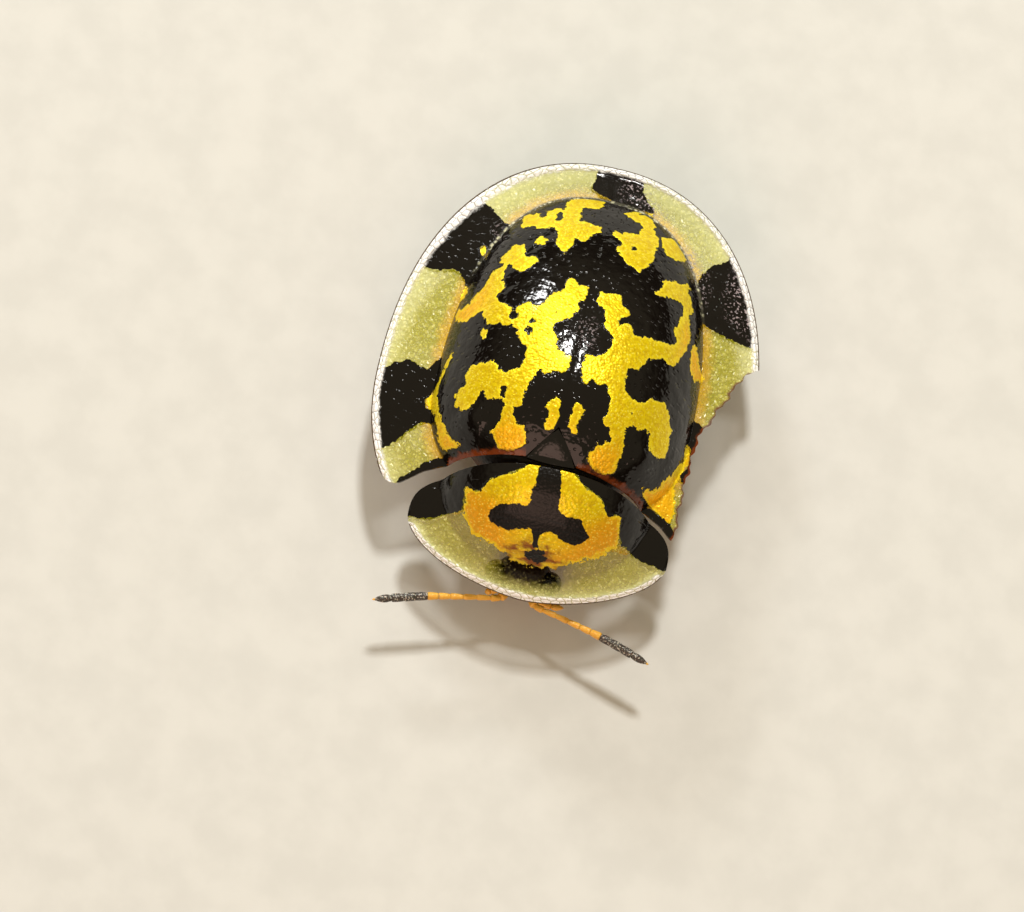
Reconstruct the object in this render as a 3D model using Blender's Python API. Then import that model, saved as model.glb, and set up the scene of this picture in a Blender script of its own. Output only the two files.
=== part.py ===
"""A tortoise beetle at life size, standing on the floor with its head towards -Y.

The shield is two domed wing cases and a pronotum, all with thin spread margins.
Below it are the head, the trunk and six short legs with flat soles at z = 0.
"""

from math import atan2, cos, pi, radians, sin

import bmesh
import bpy
from mathutils import Matrix, Vector

MM = 0.001

# Driving dimensions. Places are from the scutellum, with +Y towards the tail.
SCUTELLUM_X = 0.1 * MM
SCUTELLUM_Y = -2.08 * MM
GAP = 0.2 * MM
RIM_HEIGHT = 1.8 * MM
CROWN_RISE = 0.87 * MM
SHELL_THICKNESS = 0.42 * MM

HALF_WIDTH = 4.72 * MM
WIDEST_Y = 1.9 * MM
APEX_Y = 8.34 * MM
FRONT_REACH = 4.8 * MM
RIM_POWER = 2.22

DISC_HALF_WIDTH = 3.24 * MM
DISC_WIDEST_Y = 1.6 * MM
DISC_END_Y = 7.34 * MM
DISC_FRONT_REACH = 2.75 * MM
DISC_POWER = 2.4
HUB_Y = 4.7 * MM
HUB_SHARE = 0.6
DOME_HEIGHT = 2.05 * MM
DOME_BASE_HEIGHT = 1.62 * MM
DOME_PEAK_Y = 1.5 * MM
TAIL_POWER = 1.9
TAIL_ROUNDNESS = 0.85
FLANK_POWER = 2.3
FLANK_ROUNDNESS = 0.6
SHOULDER = (2.15 * MM, 0.35 * MM)
SHOULDER_RISE = 0.16 * MM
SHOULDER_SPREAD = 0.55 * MM

PRONOTUM_X = 0.13 * MM
PRONOTUM_Y = -1.62 * MM
PRONOTUM_HALF_WIDTH = 3.27 * MM
PRONOTUM_FRONT = 1.63 * MM
PRONOTUM_REAR = 1.14 * MM
PRONOTUM_FRONT_POWER = 1.7
PRONOTUM_REAR_POWER = 3.0
PRONOTUM_TURN = radians(1.5)
PRONOTUM_DISC = 2.62 * MM
PRONOTUM_DISC_LENGTH = 2.05 * MM
PRONOTUM_DOME = 1.46 * MM
PRONOTUM_POWER = 2.3
PRONOTUM_FLANK_ROUNDNESS = 0.7
PRONOTUM_BROW_POWER = 1.8
PRONOTUM_BROW_ROUNDNESS = 0.9
PRONOTUM_CROWN_SPREAD = 1.04

TRUNK_BOTTOM = 0.85 * MM
TRUNK_SIDE = 2.05 * MM
TRUNK_CLEARANCE = 0.88 * MM
SEGMENT_GROOVE = 0.07 * MM
BACK_POWER = 0.9
BELLY_POWER = 1.7
BLUNT_END = 0.3
SIDE_SHARE = 0.7
PROTHORAX_SPAN = (-1.8 * MM, -0.42 * MM)
THORAX_SPAN = (-0.18 * MM, 2.75 * MM)
ABDOMEN_SPAN = (2.97 * MM, 6.75 * MM)
ABDOMEN_SEGMENTS = 5
HEAD_CENTRE = (0.0, -2.34 * MM, 1.02 * MM)
HEAD_SIZE = (0.72 * MM, 0.5 * MM, 0.48 * MM)
EYE_SIZE = (0.3 * MM, 0.315 * MM, 0.345 * MM)
EYE_PLACE = (0.7 * MM, -0.1 * MM, 0.08 * MM)
MOUTH_SIZE = (0.4 * MM, 0.3 * MM, 0.3 * MM)
MOUTH_AHEAD = 0.2 * MM
PALP_SIZE = (0.2 * MM, 0.24 * MM, 0.2 * MM)
PALP_AHEAD = 0.4 * MM
PALP_DROP = 0.04 * MM
LIMB_RADIUS = 0.26 * MM
ANTENNA_RADIUS = 0.24 * MM
ANTENNA_JOINTS = 10
ANTENNA_WAIST = (0.08, 0.86)
ANTENNA_BULGE = (0.6, 1.08)
ANTENNA_TAPER_START = 0.8
ANTENNA_TAPER = 2.2
ANTENNA_TIP = 0.3

# The wing cases' front edge as (x, y), from the scutellum out to the corner
BASE_EDGE = (
    (0.0, 0.5),
    (0.62, -0.25),
    (1.2, -0.27),
    (2.0, -0.34),
    (2.5, -0.42),
    (2.95, -0.62),
    (3.3, -0.88),
    (3.55, -1.0),
    (3.75, -0.98),
    (3.95, -0.8),
)

SCUTELLUM_PLAN = ((-0.36, -0.3), (0.36, -0.3), (0.0, 0.22))

# The torn edge of the left wing case's margin as (x, y), from front to back
TORN_EDGE = (
    (3.42, -1.6),
    (3.36, 0.4),
    (3.42, 1.75),
    (3.72, 2.5),
    (3.98, 3.15),
    (4.22, 3.78),
    (4.8, 4.12),
)

TORN_ROUGHNESS = 0.035

# Each leg's joints as (x, y, z): coxa, knee, ankle, toe
LEG_JOINTS = {
    "front": ((0.8, -1.0, 0.62), (1.8, -0.95, 1.3), (2.05, -0.8, 0.42), (2.48, -0.7, 0.22)),
    "middle": ((0.95, 0.85, 0.62), (2.15, 1.0, 1.34), (2.42, 1.05, 0.42), (2.86, 1.12, 0.22)),
    "hind": ((0.9, 2.25, 0.62), (2.05, 2.95, 1.16), (2.48, 3.4, 0.42), (2.84, 3.74, 0.22)),
}

# The feelers' route as (x, y, z) on the left, from root to tip
ANTENNA_ROUTE = (
    (0.32, -3.02, 1.0),
    (0.8, -3.3, 1.12),
    (1.7, -3.55, 1.28),
    (2.6, -3.77, 1.36),
    (3.48, -4.08, 1.35),
)

# The foot's lobes from ankle to toe, as share of the foot's length and half width
FOOT_LOBES = ((0.1, 0.27), (0.5, 0.3), (0.95, 0.36))
SOLE_HEIGHT = 0.2 * MM
FOOT_THICKNESS = 0.29 * MM
CLAW_LENGTH = 0.5 * MM
CLAW_RADIUS = 0.17 * MM
CLAW_TIP = 0.03 * MM
CLAW_REACH = 0.31 * MM
CLAW_SPREAD = 0.45
CLAW_DIP = -0.12

# The leg's half width along femur and tibia, as share of the length and of LIMB_RADIUS
FEMUR = ((0.3, 1.05), (0.6, 1.25), (0.88, 1.1), (1.0, 1.0))
TIBIA = ((0.35, 0.95), (0.8, 1.02), (1.0, 0.96))

# The stubs on the trunk that the legs grow from: half sizes, and place from the coxa
STUB_SIZE = (0.42 * MM, 0.42 * MM, 0.5 * MM)
STUB_INWARD = 0.12 * MM
STUB_RISE = 0.22 * MM

# How far out along its row, at most, the disc reaches
LEAST_MARGIN = 0.85

# Mesh fineness
HALVINGS = 36
ROWS = 46
BASE_ROWS = 7
DOME_RINGS = 9
MARGIN_RINGS = 4
PRONOTUM_ROWS = 52
PRONOTUM_DOME_RINGS = 5
PRONOTUM_MARGIN_RINGS = 4
BODY_SIDES = 28
BODY_RINGS = 11


def clear_scene():
    for old in list(bpy.data.objects):
        bpy.data.objects.remove(old, do_unlink=True)


def new_collection(name):
    group = bpy.data.collections.new(name)
    bpy.context.scene.collection.children.link(group)
    return group


def material(name, colour, roughness, metallic=0.0):
    """A Principled material in one plain colour."""
    mat = bpy.data.materials.new(name)
    mat.use_nodes = True
    shader = mat.node_tree.nodes["Principled BSDF"]
    shader.inputs["Base Color"].default_value = (*colour, 1.0)
    shader.inputs["Roughness"].default_value = roughness
    shader.inputs["Metallic"].default_value = metallic
    return mat


def mesh_object(name, bm, mat, group):
    """A smooth shaded object in group from bm, which is freed."""
    bmesh.ops.recalc_face_normals(bm, faces=bm.faces[:])
    mesh = bpy.data.meshes.new(name)
    bm.to_mesh(mesh)
    bm.free()
    mesh.shade_smooth()
    mesh.set_sharp_from_angle(angle=radians(40))
    mesh.materials.append(mat)
    node = bpy.data.objects.new(name, mesh)
    group.objects.link(node)
    return node


def base_empty(group):
    """An empty on the floor below the scutellum, that carries every node."""
    empty = bpy.data.objects.new("below_scutellum", None)
    empty.location = (SCUTELLUM_X, SCUTELLUM_Y, 0.0)
    group.objects.link(empty)
    return empty


def along_edge(edge, x):
    """The y of a polyline edge, given in mm, at x."""
    x = min(max(x / MM, edge[0][0]), edge[-1][0])
    for (x0, y0), (x1, y1) in zip(edge, edge[1:]):
        if x <= x1:
            return MM * (y0 + (y1 - y0) * (x - x0) / (x1 - x0))
    return MM * edge[-1][1]


def torn_limit(y):
    """How far out the torn left margin still reaches at y."""
    y = y / MM
    for (x0, y0), (x1, y1) in zip(TORN_EDGE, TORN_EDGE[1:]):
        if y0 <= y <= y1:
            ragged = TORN_ROUGHNESS * (sin(9.0 * y) + 0.6 * sin(23.0 * y + 1.0))
            return MM * (x0 + (x1 - x0) * (y - y0) / (y1 - y0) + ragged)
    return 2.0 * HALF_WIDTH


def oval(x, y, half_width, reach, power):
    """A superellipse's norm: 1.0 on its outline and less inside."""
    return (abs(x / half_width) ** power + abs(y / reach) ** power) ** (1.0 / power)


def rim_norm(x, y):
    reach = APEX_Y - WIDEST_Y if y > WIDEST_Y else FRONT_REACH
    return oval(x, y - WIDEST_Y, HALF_WIDTH, reach, RIM_POWER)


def disc_norm(x, y):
    reach = DISC_END_Y - DISC_WIDEST_Y if y > DISC_WIDEST_Y else DISC_FRONT_REACH
    return oval(x, y - DISC_WIDEST_Y, DISC_HALF_WIDTH, reach, DISC_POWER)


def soft_power(value, power, softness=0.04):
    """value ** power with its steep start cut off, and 0 below 0."""
    value = max(value, 0.0)
    top = (1.0 + softness) ** power - softness**power
    return ((value + softness) ** power - softness**power) / top


def disc_half_width(y):
    """Half the disc's width at y."""
    reach = DISC_END_Y - DISC_WIDEST_Y if y > DISC_WIDEST_Y else DISC_FRONT_REACH
    share = min(abs(y - DISC_WIDEST_Y) / reach, 1.0)
    return DISC_HALF_WIDTH * (1.0 - share**DISC_POWER) ** (1.0 / DISC_POWER)


def dome_height(y):
    """The dome's own height on the midline at y."""
    if y > DOME_PEAK_Y:
        share = (y - DOME_PEAK_Y) / (DISC_END_Y - DOME_PEAK_Y)
        return DOME_HEIGHT * soft_power(1.0 - share**TAIL_POWER, TAIL_ROUNDNESS)
    share = (DOME_PEAK_Y - y) / DOME_PEAK_Y
    return DOME_HEIGHT - (DOME_HEIGHT - DOME_BASE_HEIGHT) * share**2


def elytra_height(x, y):
    """The outer face of the wing cases."""
    crown = CROWN_RISE * (1.0 - rim_norm(x, y) ** 2)
    half = disc_half_width(y)
    dome = 0.0
    if half > abs(x):
        dome = dome_height(y) * soft_power(1.0 - (abs(x) / half) ** FLANK_POWER, FLANK_ROUNDNESS)
    bump = (abs(x) - SHOULDER[0]) ** 2 + (y - SHOULDER[1]) ** 2
    shoulder = SHOULDER_RISE * max(1.0 - bump / SHOULDER_SPREAD**2, 0.0) ** 2
    return RIM_HEIGHT + crown + dome + shoulder


def pronotum_height(x, y):
    """The outer face of the pronotum, before it is turned."""
    back = PRONOTUM_Y + PRONOTUM_REAR
    ahead = back - y
    spread = (x / (PRONOTUM_CROWN_SPREAD * PRONOTUM_HALF_WIDTH)) ** 2
    length = (ahead / (PRONOTUM_FRONT + PRONOTUM_REAR)) ** 2
    crown = CROWN_RISE * (1.0 - spread - length)
    share = min(max(ahead / PRONOTUM_DISC_LENGTH, 0.0), 1.0)
    half = PRONOTUM_DISC * (1.0 - share**PRONOTUM_POWER) ** (1.0 / PRONOTUM_POWER)
    dome = 0.0
    if half > abs(x):
        side = soft_power(1.0 - (abs(x) / half) ** FLANK_POWER, PRONOTUM_FLANK_ROUNDNESS)
        brow = soft_power(1.0 - share**PRONOTUM_BROW_POWER, PRONOTUM_BROW_ROUNDNESS)
        dome = PRONOTUM_DOME * brow * side
    return RIM_HEIGHT + crown + dome


def pronotum_norm(x, y):
    front = y < PRONOTUM_Y
    reach = PRONOTUM_FRONT if front else PRONOTUM_REAR
    power = PRONOTUM_FRONT_POWER if front else PRONOTUM_REAR_POWER
    return oval(x, y - PRONOTUM_Y, PRONOTUM_HALF_WIDTH, reach, power)


def in_pronotum_disc(x, y):
    ahead = PRONOTUM_Y + PRONOTUM_REAR - y
    return oval(x, ahead, PRONOTUM_DISC, PRONOTUM_DISC_LENGTH, PRONOTUM_POWER) < 1.0


def face_normal(height, x, y, step=0.06 * MM):
    """The upward normal of a height surface, averaged over a short step."""
    along_x = (height(x + step, y) - height(x - step, y)) / (2.0 * step)
    along_y = (height(x, y + step) - height(x, y - step)) / (2.0 * step)
    return Vector((-along_x, -along_y, 1.0)).normalized()


def curved_plate(rows, closed, height):
    """A curved plate of even thickness from rows of plan points.

    Neighbouring rows may share points. Height gives the upper face, and the
    lower face follows it at SHELL_THICKNESS with the same triangles.
    """
    bm = bmesh.new()
    pairs = {}

    def pair(x, y, on_midline):
        key = (round(x / MM, 5), round(y / MM, 5))
        if key not in pairs:
            normal = face_normal(height, x, y)
            if on_midline:
                normal.x = 0.0
                normal.normalize()
            top = Vector((x, y, height(x, y)))
            pairs[key] = (bm.verts.new(top), bm.verts.new(top - SHELL_THICKNESS * normal))
        return pairs[key]

    def triangle(*corners):
        if len(set(corners)) == 3:
            bm.faces.new(corners)

    last = 0 if closed else len(rows) - 1
    grid = []
    for i, row in enumerate(rows):
        grid.append([pair(x, y, not closed and (k == 0 or i == last)) for k, (x, y) in enumerate(row)])
    turns = len(grid) if closed else len(grid) - 1
    for i in range(turns):
        here, there = grid[i], grid[(i + 1) % len(grid)]
        for face in (0, 1):
            for k in range(len(here) - 1):
                triangle(here[k][face], here[k + 1][face], there[k + 1][face])
                triangle(here[k][face], there[k + 1][face], there[k][face])
        triangle(here[-1][0], here[-1][1], there[-1][1])
        triangle(here[-1][0], there[-1][1], there[-1][0])
        if not closed:
            triangle(here[0][0], here[0][1], there[0][1])
            triangle(here[0][0], there[0][1], there[0][0])
    if not closed:
        for row in (grid[0], grid[-1]):
            for (top, low), (next_top, next_low) in zip(row, row[1:]):
                triangle(top, low, next_low)
                triangle(top, next_low, next_top)
    return bm


def furthest(inside):
    """The largest share of a line, up to 1.0, that is still inside."""
    if inside(1.0):
        return 1.0
    near, far = 0.0, 1.0
    for _ in range(HALVINGS):
        middle = 0.5 * (near + far)
        if inside(middle):
            near = middle
        else:
            far = middle
    return near


def base_corner():
    """Where the wing case's base edge meets its rim."""
    span = BASE_EDGE[-1][0] * MM
    share = furthest(lambda t: rim_norm(t * span, along_edge(BASE_EDGE, t * span)) < 1.0)
    return Vector((share * span, along_edge(BASE_EDGE, share * span)))


def wing_row(k):
    """A function from a share, 0 to 1, to the plan place along row k of a wing case.

    The first row follows the base edge, and the last runs down the suture.
    """
    corner = base_corner()
    start = Vector((0.5 * GAP, along_edge(BASE_EDGE, 0.5 * GAP)))
    first_angle = atan2(corner.y - WIDEST_Y, corner.x)
    angle = first_angle + (0.5 * pi - first_angle) * k / ROWS
    length = 1.0 / rim_norm(cos(angle), WIDEST_Y + sin(angle))
    rim = Vector((max(length * cos(angle), start.x), WIDEST_Y + length * sin(angle)))
    hub = start.lerp(Vector((start.x, HUB_Y)), min(k / (HUB_SHARE * ROWS), 1.0))
    bend = max(1.0 - k / BASE_ROWS, 0.0) ** 2

    def on_row(t):
        point = hub.lerp(rim, t)
        straight = start.y + (corner.y - start.y) * t
        edge = along_edge(BASE_EDGE, start.x + (corner.x - start.x) * t)
        return point.x, point.y + bend * (edge - straight)

    return on_row


def elytron_rows(side):
    """Rows of plan points from the suture out to the rim, from the base to the tail."""
    rows = []
    for k in range(ROWS + 1):
        on_row = wing_row(k)
        end = 1.0
        if side > 0:
            end = furthest(lambda t: on_row(t)[0] < torn_limit(on_row(t)[1]))
        disc = min(furthest(lambda t: disc_norm(*on_row(t)) < 1.0), LEAST_MARGIN * end)
        steps = [disc * sin(0.5 * pi * i / DOME_RINGS) for i in range(DOME_RINGS + 1)]
        steps += [disc + (end - disc) * (i + 1) / MARGIN_RINGS for i in range(MARGIN_RINGS)]
        rows.append([on_row(t) for t in steps])
    return rows


def elytron(side, mat, group):
    """One wing case: half the dome and its margin. The left one's margin is torn."""
    bm = curved_plate(elytron_rows(side), False, elytra_height)
    if side < 0:
        bmesh.ops.scale(bm, vec=(-1.0, 1.0, 1.0), verts=bm.verts[:])
    name = "elytron_left" if side > 0 else "elytron_right"
    return mesh_object(name, bm, mat, group)


def pronotum_row(angle):
    """A function from a share, 0 to 1, to the plan place along a spoke of the pronotum."""

    def spoke(length):
        return length * cos(angle), PRONOTUM_Y + length * sin(angle)

    span = 2.0 * PRONOTUM_HALF_WIDTH
    span *= furthest(lambda t: pronotum_norm(*spoke(t * span)) < 1.0)
    return lambda t: spoke(t * span)


def pronotum(mat, group):
    """The shield over the head, turned a little so that a slit opens on the right."""
    rows = []
    for i in range(PRONOTUM_ROWS):
        on_row = pronotum_row(2.0 * pi * i / PRONOTUM_ROWS)
        disc = min(furthest(lambda t: in_pronotum_disc(*on_row(t))), LEAST_MARGIN)
        rings = PRONOTUM_MARGIN_RINGS
        steps = [disc * j / PRONOTUM_DOME_RINGS for j in range(PRONOTUM_DOME_RINGS + 1)]
        steps += [disc + (1.0 - disc) * (j + 1) / rings for j in range(rings)]
        rows.append([on_row(t) for t in steps])
    bm = curved_plate(rows, True, pronotum_height)
    bm.transform(Matrix.Translation((0.0, -PRONOTUM_Y, 0.0)))
    node = mesh_object("pronotum", bm, mat, group)
    node.location = (PRONOTUM_X, PRONOTUM_Y, 0.0)
    node.rotation_euler.z = PRONOTUM_TURN
    return node


def body_ring(y, half_width, top, side, bottom):
    """A closed ring across the body: an arched back over a shallower belly."""
    ring = []
    for i in range(BODY_SIDES):
        angle = 2.0 * pi * i / BODY_SIDES
        lift = sin(angle)
        z = side + (top - side) * max(lift, 0.0) ** BACK_POWER
        z -= (side - bottom) * max(-lift, 0.0) ** BELLY_POWER
        ring.append((half_width * cos(angle), y, z))
    return ring


def loft(rings):
    """A closed body through rings of equal length, with fans at both ends."""
    bm = bmesh.new()
    loops = [[bm.verts.new(point) for point in ring] for ring in rings]
    for here, there in zip(loops, loops[1:]):
        for i in range(len(here)):
            j = (i + 1) % len(here)
            bm.faces.new((here[i], here[j], there[j], there[i]))
    for loop in (loops[0], loops[-1]):
        middle = sum((v.co for v in loop), Vector()) / len(loop)
        tip = bm.verts.new(middle)
        for i in range(len(loop)):
            bm.faces.new((loop[i], loop[(i + 1) % len(loop)], tip))
    bmesh.ops.triangulate(bm, faces=bm.faces[:])
    return bm


def trunk_piece(front, back, roof_over, half_width_over, front_power=0, back_power=0, segments=0):
    """Rings of the trunk from front to back, that fit below the shield.

    A power rounds off that end. The belly has a shallow groove between segments.
    """
    count = 3 * segments + 1 if segments else BODY_RINGS
    rings = []
    for k in range(count):
        share = k / (count - 1) if segments else 0.5 - 0.5 * cos(pi * k / (count - 1))
        y = front + (back - front) * share
        narrow = 1.0
        if front_power:
            narrow *= max(1.0 - (1.0 - share) ** front_power, 0.0) ** 0.5
        if back_power:
            narrow *= max(1.0 - share**back_power, 0.0) ** 0.5
        narrow = max(narrow, BLUNT_END)
        roof = roof_over(0.0, y) - TRUNK_CLEARANCE
        side = min(TRUNK_SIDE, TRUNK_BOTTOM + SIDE_SHARE * (roof - TRUNK_BOTTOM))
        groove = SEGMENT_GROOVE if segments and k % 3 == 0 else 0.0
        top = side + (roof - side) * narrow
        bottom = side - (side - TRUNK_BOTTOM - groove) * narrow
        width = (half_width_over(y) - TRUNK_CLEARANCE) * narrow
        rings.append(body_ring(y, width, top, side, bottom))
    return rings


def ball(centre, size, segments=16, rings=10):
    """A closed ellipsoid as a bmesh."""
    bm = bmesh.new()
    bmesh.ops.create_uvsphere(bm, u_segments=segments, v_segments=rings, radius=1.0)
    bm.transform(Matrix.Translation(centre) @ Matrix.Diagonal((*size, 1.0)))
    return bm


def smooth_path(points, steps):
    """Points and radii along a Catmull-Rom curve through (x, y, z, radius) points."""
    points = [Vector(p) for p in points]
    ends = [2.0 * points[0] - points[1]] + points + [2.0 * points[-1] - points[-2]]
    path = []
    for a, b, c, d in zip(ends, ends[1:], ends[2:], ends[3:]):
        for i in range(steps):
            t = i / steps
            square = 2.0 * a - 5.0 * b + 4.0 * c - d
            cube = 3.0 * b - a - 3.0 * c + d
            path.append(0.5 * (2.0 * b + t * (c - a) + t**2 * square + t**3 * cube))
    path.append(points[-1])
    return path


def tube(name, points, steps, mat, group):
    """A mesh tube through (x, y, z, radius) points, with welded caps."""
    path = smooth_path(points, steps)
    curve = bpy.data.curves.new(name, "CURVE")
    curve.dimensions = "3D"
    curve.bevel_depth = 1.0
    curve.bevel_resolution = 2
    curve.use_fill_caps = True
    spline = curve.splines.new("POLY")
    spline.points.add(len(path) - 1)
    for target, point in zip(spline.points, path):
        target.co = (point[0], point[1], point[2], 1.0)
        target.radius = point[3]
    guide = bpy.data.objects.new(name + "_curve", curve)
    group.objects.link(guide)
    bpy.context.view_layer.update()
    seen = guide.evaluated_get(bpy.context.evaluated_depsgraph_get())
    mesh = bpy.data.meshes.new_from_object(seen)
    bm = bmesh.new()
    bm.from_mesh(mesh)
    bmesh.ops.remove_doubles(bm, verts=bm.verts[:], dist=0.001 * MM)
    bpy.data.objects.remove(guide, do_unlink=True)
    bpy.data.meshes.remove(mesh)
    return mesh_object(name, bm, mat, group)


def apply_union(node, others):
    """Joins the others into node, and removes their collection's objects."""
    join = node.modifiers.new("join", "BOOLEAN")
    join.operand_type = "COLLECTION"
    join.collection = others
    join.operation = "UNION"
    apply_modifiers(node)
    for other in list(others.objects):
        bpy.data.objects.remove(other, do_unlink=True)
    bpy.data.collections.remove(others)


def apply_modifiers(node):
    """Bakes the node's modifiers into its mesh and keeps its largest closed body."""
    bpy.context.view_layer.update()
    seen = node.evaluated_get(bpy.context.evaluated_depsgraph_get())
    mesh = bpy.data.meshes.new_from_object(seen)
    node.modifiers.clear()
    bm = bmesh.new()
    bm.from_mesh(mesh)
    bpy.data.meshes.remove(mesh)
    bmesh.ops.remove_doubles(bm, verts=bm.verts[:], dist=0.002 * MM)
    keep_largest(bm)
    bmesh.ops.triangulate(bm, faces=bm.faces[:])
    bm.to_mesh(node.data)
    bm.free()


def keep_largest(bm):
    """Deletes all but the closed surface with the most faces."""
    left = set(bm.faces)
    pieces = []
    while left:
        piece = {left.pop()}
        front = list(piece)
        while front:
            face = front.pop()
            for edge in face.edges:
                for neighbour in edge.link_faces:
                    if neighbour in left:
                        left.remove(neighbour)
                        piece.add(neighbour)
                        front.append(neighbour)
        pieces.append(piece)
    largest = max(pieces, key=len)
    loose = [face for piece in pieces if piece is not largest for face in piece]
    bmesh.ops.delete(bm, geom=loose, context="FACES")


def cut(node, cutter):
    """Cuts one mesh out of another and removes the cutter."""
    take = node.modifiers.new("cut", "BOOLEAN")
    take.operation = "DIFFERENCE"
    take.object = cutter
    apply_modifiers(node)
    bpy.data.objects.remove(cutter, do_unlink=True)


def flatten_soles(node):
    """Cuts everything below the floor off a leg and closes the cut."""
    bm = bmesh.new()
    bm.from_mesh(node.data)
    geometry = bm.verts[:] + bm.edges[:] + bm.faces[:]
    made = bmesh.ops.bisect_plane(
        bm, geom=geometry, plane_co=(0, 0, 0), plane_no=(0, 0, 1), clear_inner=True
    )
    edges = [e for e in made["geom_cut"] if isinstance(e, bmesh.types.BMEdge)]
    bmesh.ops.holes_fill(bm, edges=edges)
    bmesh.ops.remove_doubles(bm, verts=bm.verts[:], dist=0.002 * MM)
    bmesh.ops.triangulate(bm, faces=bm.faces[:])
    bmesh.ops.recalc_face_normals(bm, faces=bm.faces[:])
    bm.to_mesh(node.data)
    bm.free()


def claw(toe, direction):
    """A pointed claw at the toe as a bmesh."""
    bm = bmesh.new()
    bmesh.ops.create_cone(
        bm, cap_ends=True, segments=8, radius1=CLAW_RADIUS, radius2=CLAW_TIP, depth=CLAW_LENGTH
    )
    ahead = Vector((direction.x, direction.y, 0.0))
    aim = (ahead + Vector((0.0, 0.0, CLAW_DIP))).to_track_quat("Z", "Y").to_matrix().to_4x4()
    bm.transform(Matrix.Translation(toe + CLAW_REACH * ahead) @ aim)
    return bm


def leg(place_name, side, mat, group):
    """One leg: a stout femur and a slim tibia as a bent tube, and a lobed flat foot."""
    coxa, knee, ankle, toe = [Vector((side * x, y, z)) * MM for x, y, z in LEG_JOINTS[place_name]]
    points = [(*coxa.lerp(knee, share), swell * LIMB_RADIUS) for share, swell in FEMUR]
    points += [(*knee.lerp(ankle, share), swell * LIMB_RADIUS) for share, swell in TIBIA]
    name = f"leg_{place_name}_{'left' if side > 0 else 'right'}"
    node = tube(name, points, 3, mat, group)
    foot = new_collection("foot")
    for share, width in FOOT_LOBES:
        centre = ankle.lerp(toe, share)
        centre.z = SOLE_HEIGHT
        size = (width * MM, width * MM, FOOT_THICKNESS)
        mesh_object("lobe", ball(centre, size, 12, 8), mat, foot)
    outward = (toe - ankle).to_2d().normalized()
    for spread in (-CLAW_SPREAD, CLAW_SPREAD):
        mesh_object("claw", claw(toe, Matrix.Rotation(spread, 2) @ outward), mat, foot)
    apply_union(node, foot)
    flatten_soles(node)
    return node


def coxa_stubs(places, mat):
    """Round stubs for the legs to grow from, in a collection of their own."""
    stubs = new_collection("stubs")
    for place_name in places:
        x, y, z = (MM * value for value in LEG_JOINTS[place_name][0])
        for side in (-1, 1):
            centre = (side * (x - STUB_INWARD), y, z + STUB_RISE)
            mesh_object("stub", ball(centre, STUB_SIZE, 14, 9), mat, stubs)
    return stubs


def head(mat, group, scrap):
    """The head with sockets for the eyes."""
    node = mesh_object("head", ball(HEAD_CENTRE, HEAD_SIZE, 24, 14), mat, group)
    for side in (-1, 1):
        centre = eye_centre(side)
        size = [EYE_SIZE[0] + GAP] * 3
        cut(node, mesh_object("socket", ball(centre, size, 16, 10), mat, scrap))
    return node


def eye_centre(side):
    x, y, z = HEAD_CENTRE
    return Vector((side * EYE_PLACE[0], y + EYE_PLACE[1], z + EYE_PLACE[2]))


def eye(side, mat, group):
    """A compound eye in its socket, a little taller than wide."""
    name = "eye_left" if side > 0 else "eye_right"
    return mesh_object(name, ball(eye_centre(side), EYE_SIZE, 14, 10), mat, group)


def antenna(side, mat, group):
    """A feeler of short joints that comes out from under the pronotum's front edge."""
    route = smooth_path([(side * MM * x, MM * y, MM * z) for x, y, z in ANTENNA_ROUTE], 12)
    points = []
    for k in range(ANTENNA_JOINTS):
        for within, swell in (ANTENNA_WAIST, ANTENNA_BULGE):
            share = (k + within) / ANTENNA_JOINTS
            point = route[round(share * (len(route) - 1))]
            taper = 1.0 - ANTENNA_TAPER * max(share - ANTENNA_TAPER_START, 0.0)
            points.append((*point, ANTENNA_RADIUS * swell * taper))
    points.append((*route[-1], ANTENNA_TIP * ANTENNA_RADIUS))
    name = "antenna_left" if side > 0 else "antenna_right"
    return tube(name, points, 1, mat, group)


def mouthparts(mat, group, scrap):
    """The labrum and jaws with a palp on each side, cut to fit below the head."""
    x, y, z = HEAD_CENTRE
    low = z - HEAD_SIZE[2]
    mouth = ball((x, y - MOUTH_AHEAD, low), MOUTH_SIZE, 14, 8)
    node = mesh_object("mouthparts", mouth, mat, group)
    palps = new_collection("palps")
    for side in (-1, 1):
        centre = (side * MOUTH_SIZE[0], y - PALP_AHEAD, low - PALP_DROP)
        mesh_object("palp", ball(centre, PALP_SIZE, 10, 7), mat, palps)
    apply_union(node, palps)
    size = [half + GAP for half in HEAD_SIZE]
    cut(node, mesh_object("head_space", ball(HEAD_CENTRE, size, 24, 14), mat, scrap))
    return node


def scutellum(mat, group):
    """The small triangular plate between the pronotum and the wing cases."""
    top = elytra_height(0.0, 0.0)
    rings = []
    for depth in (0.0, SHELL_THICKNESS):
        rings.append([(x * MM, y * MM, top - depth) for x, y in SCUTELLUM_PLAN])
    return mesh_object("scutellum", loft(rings), mat, group)


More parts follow.
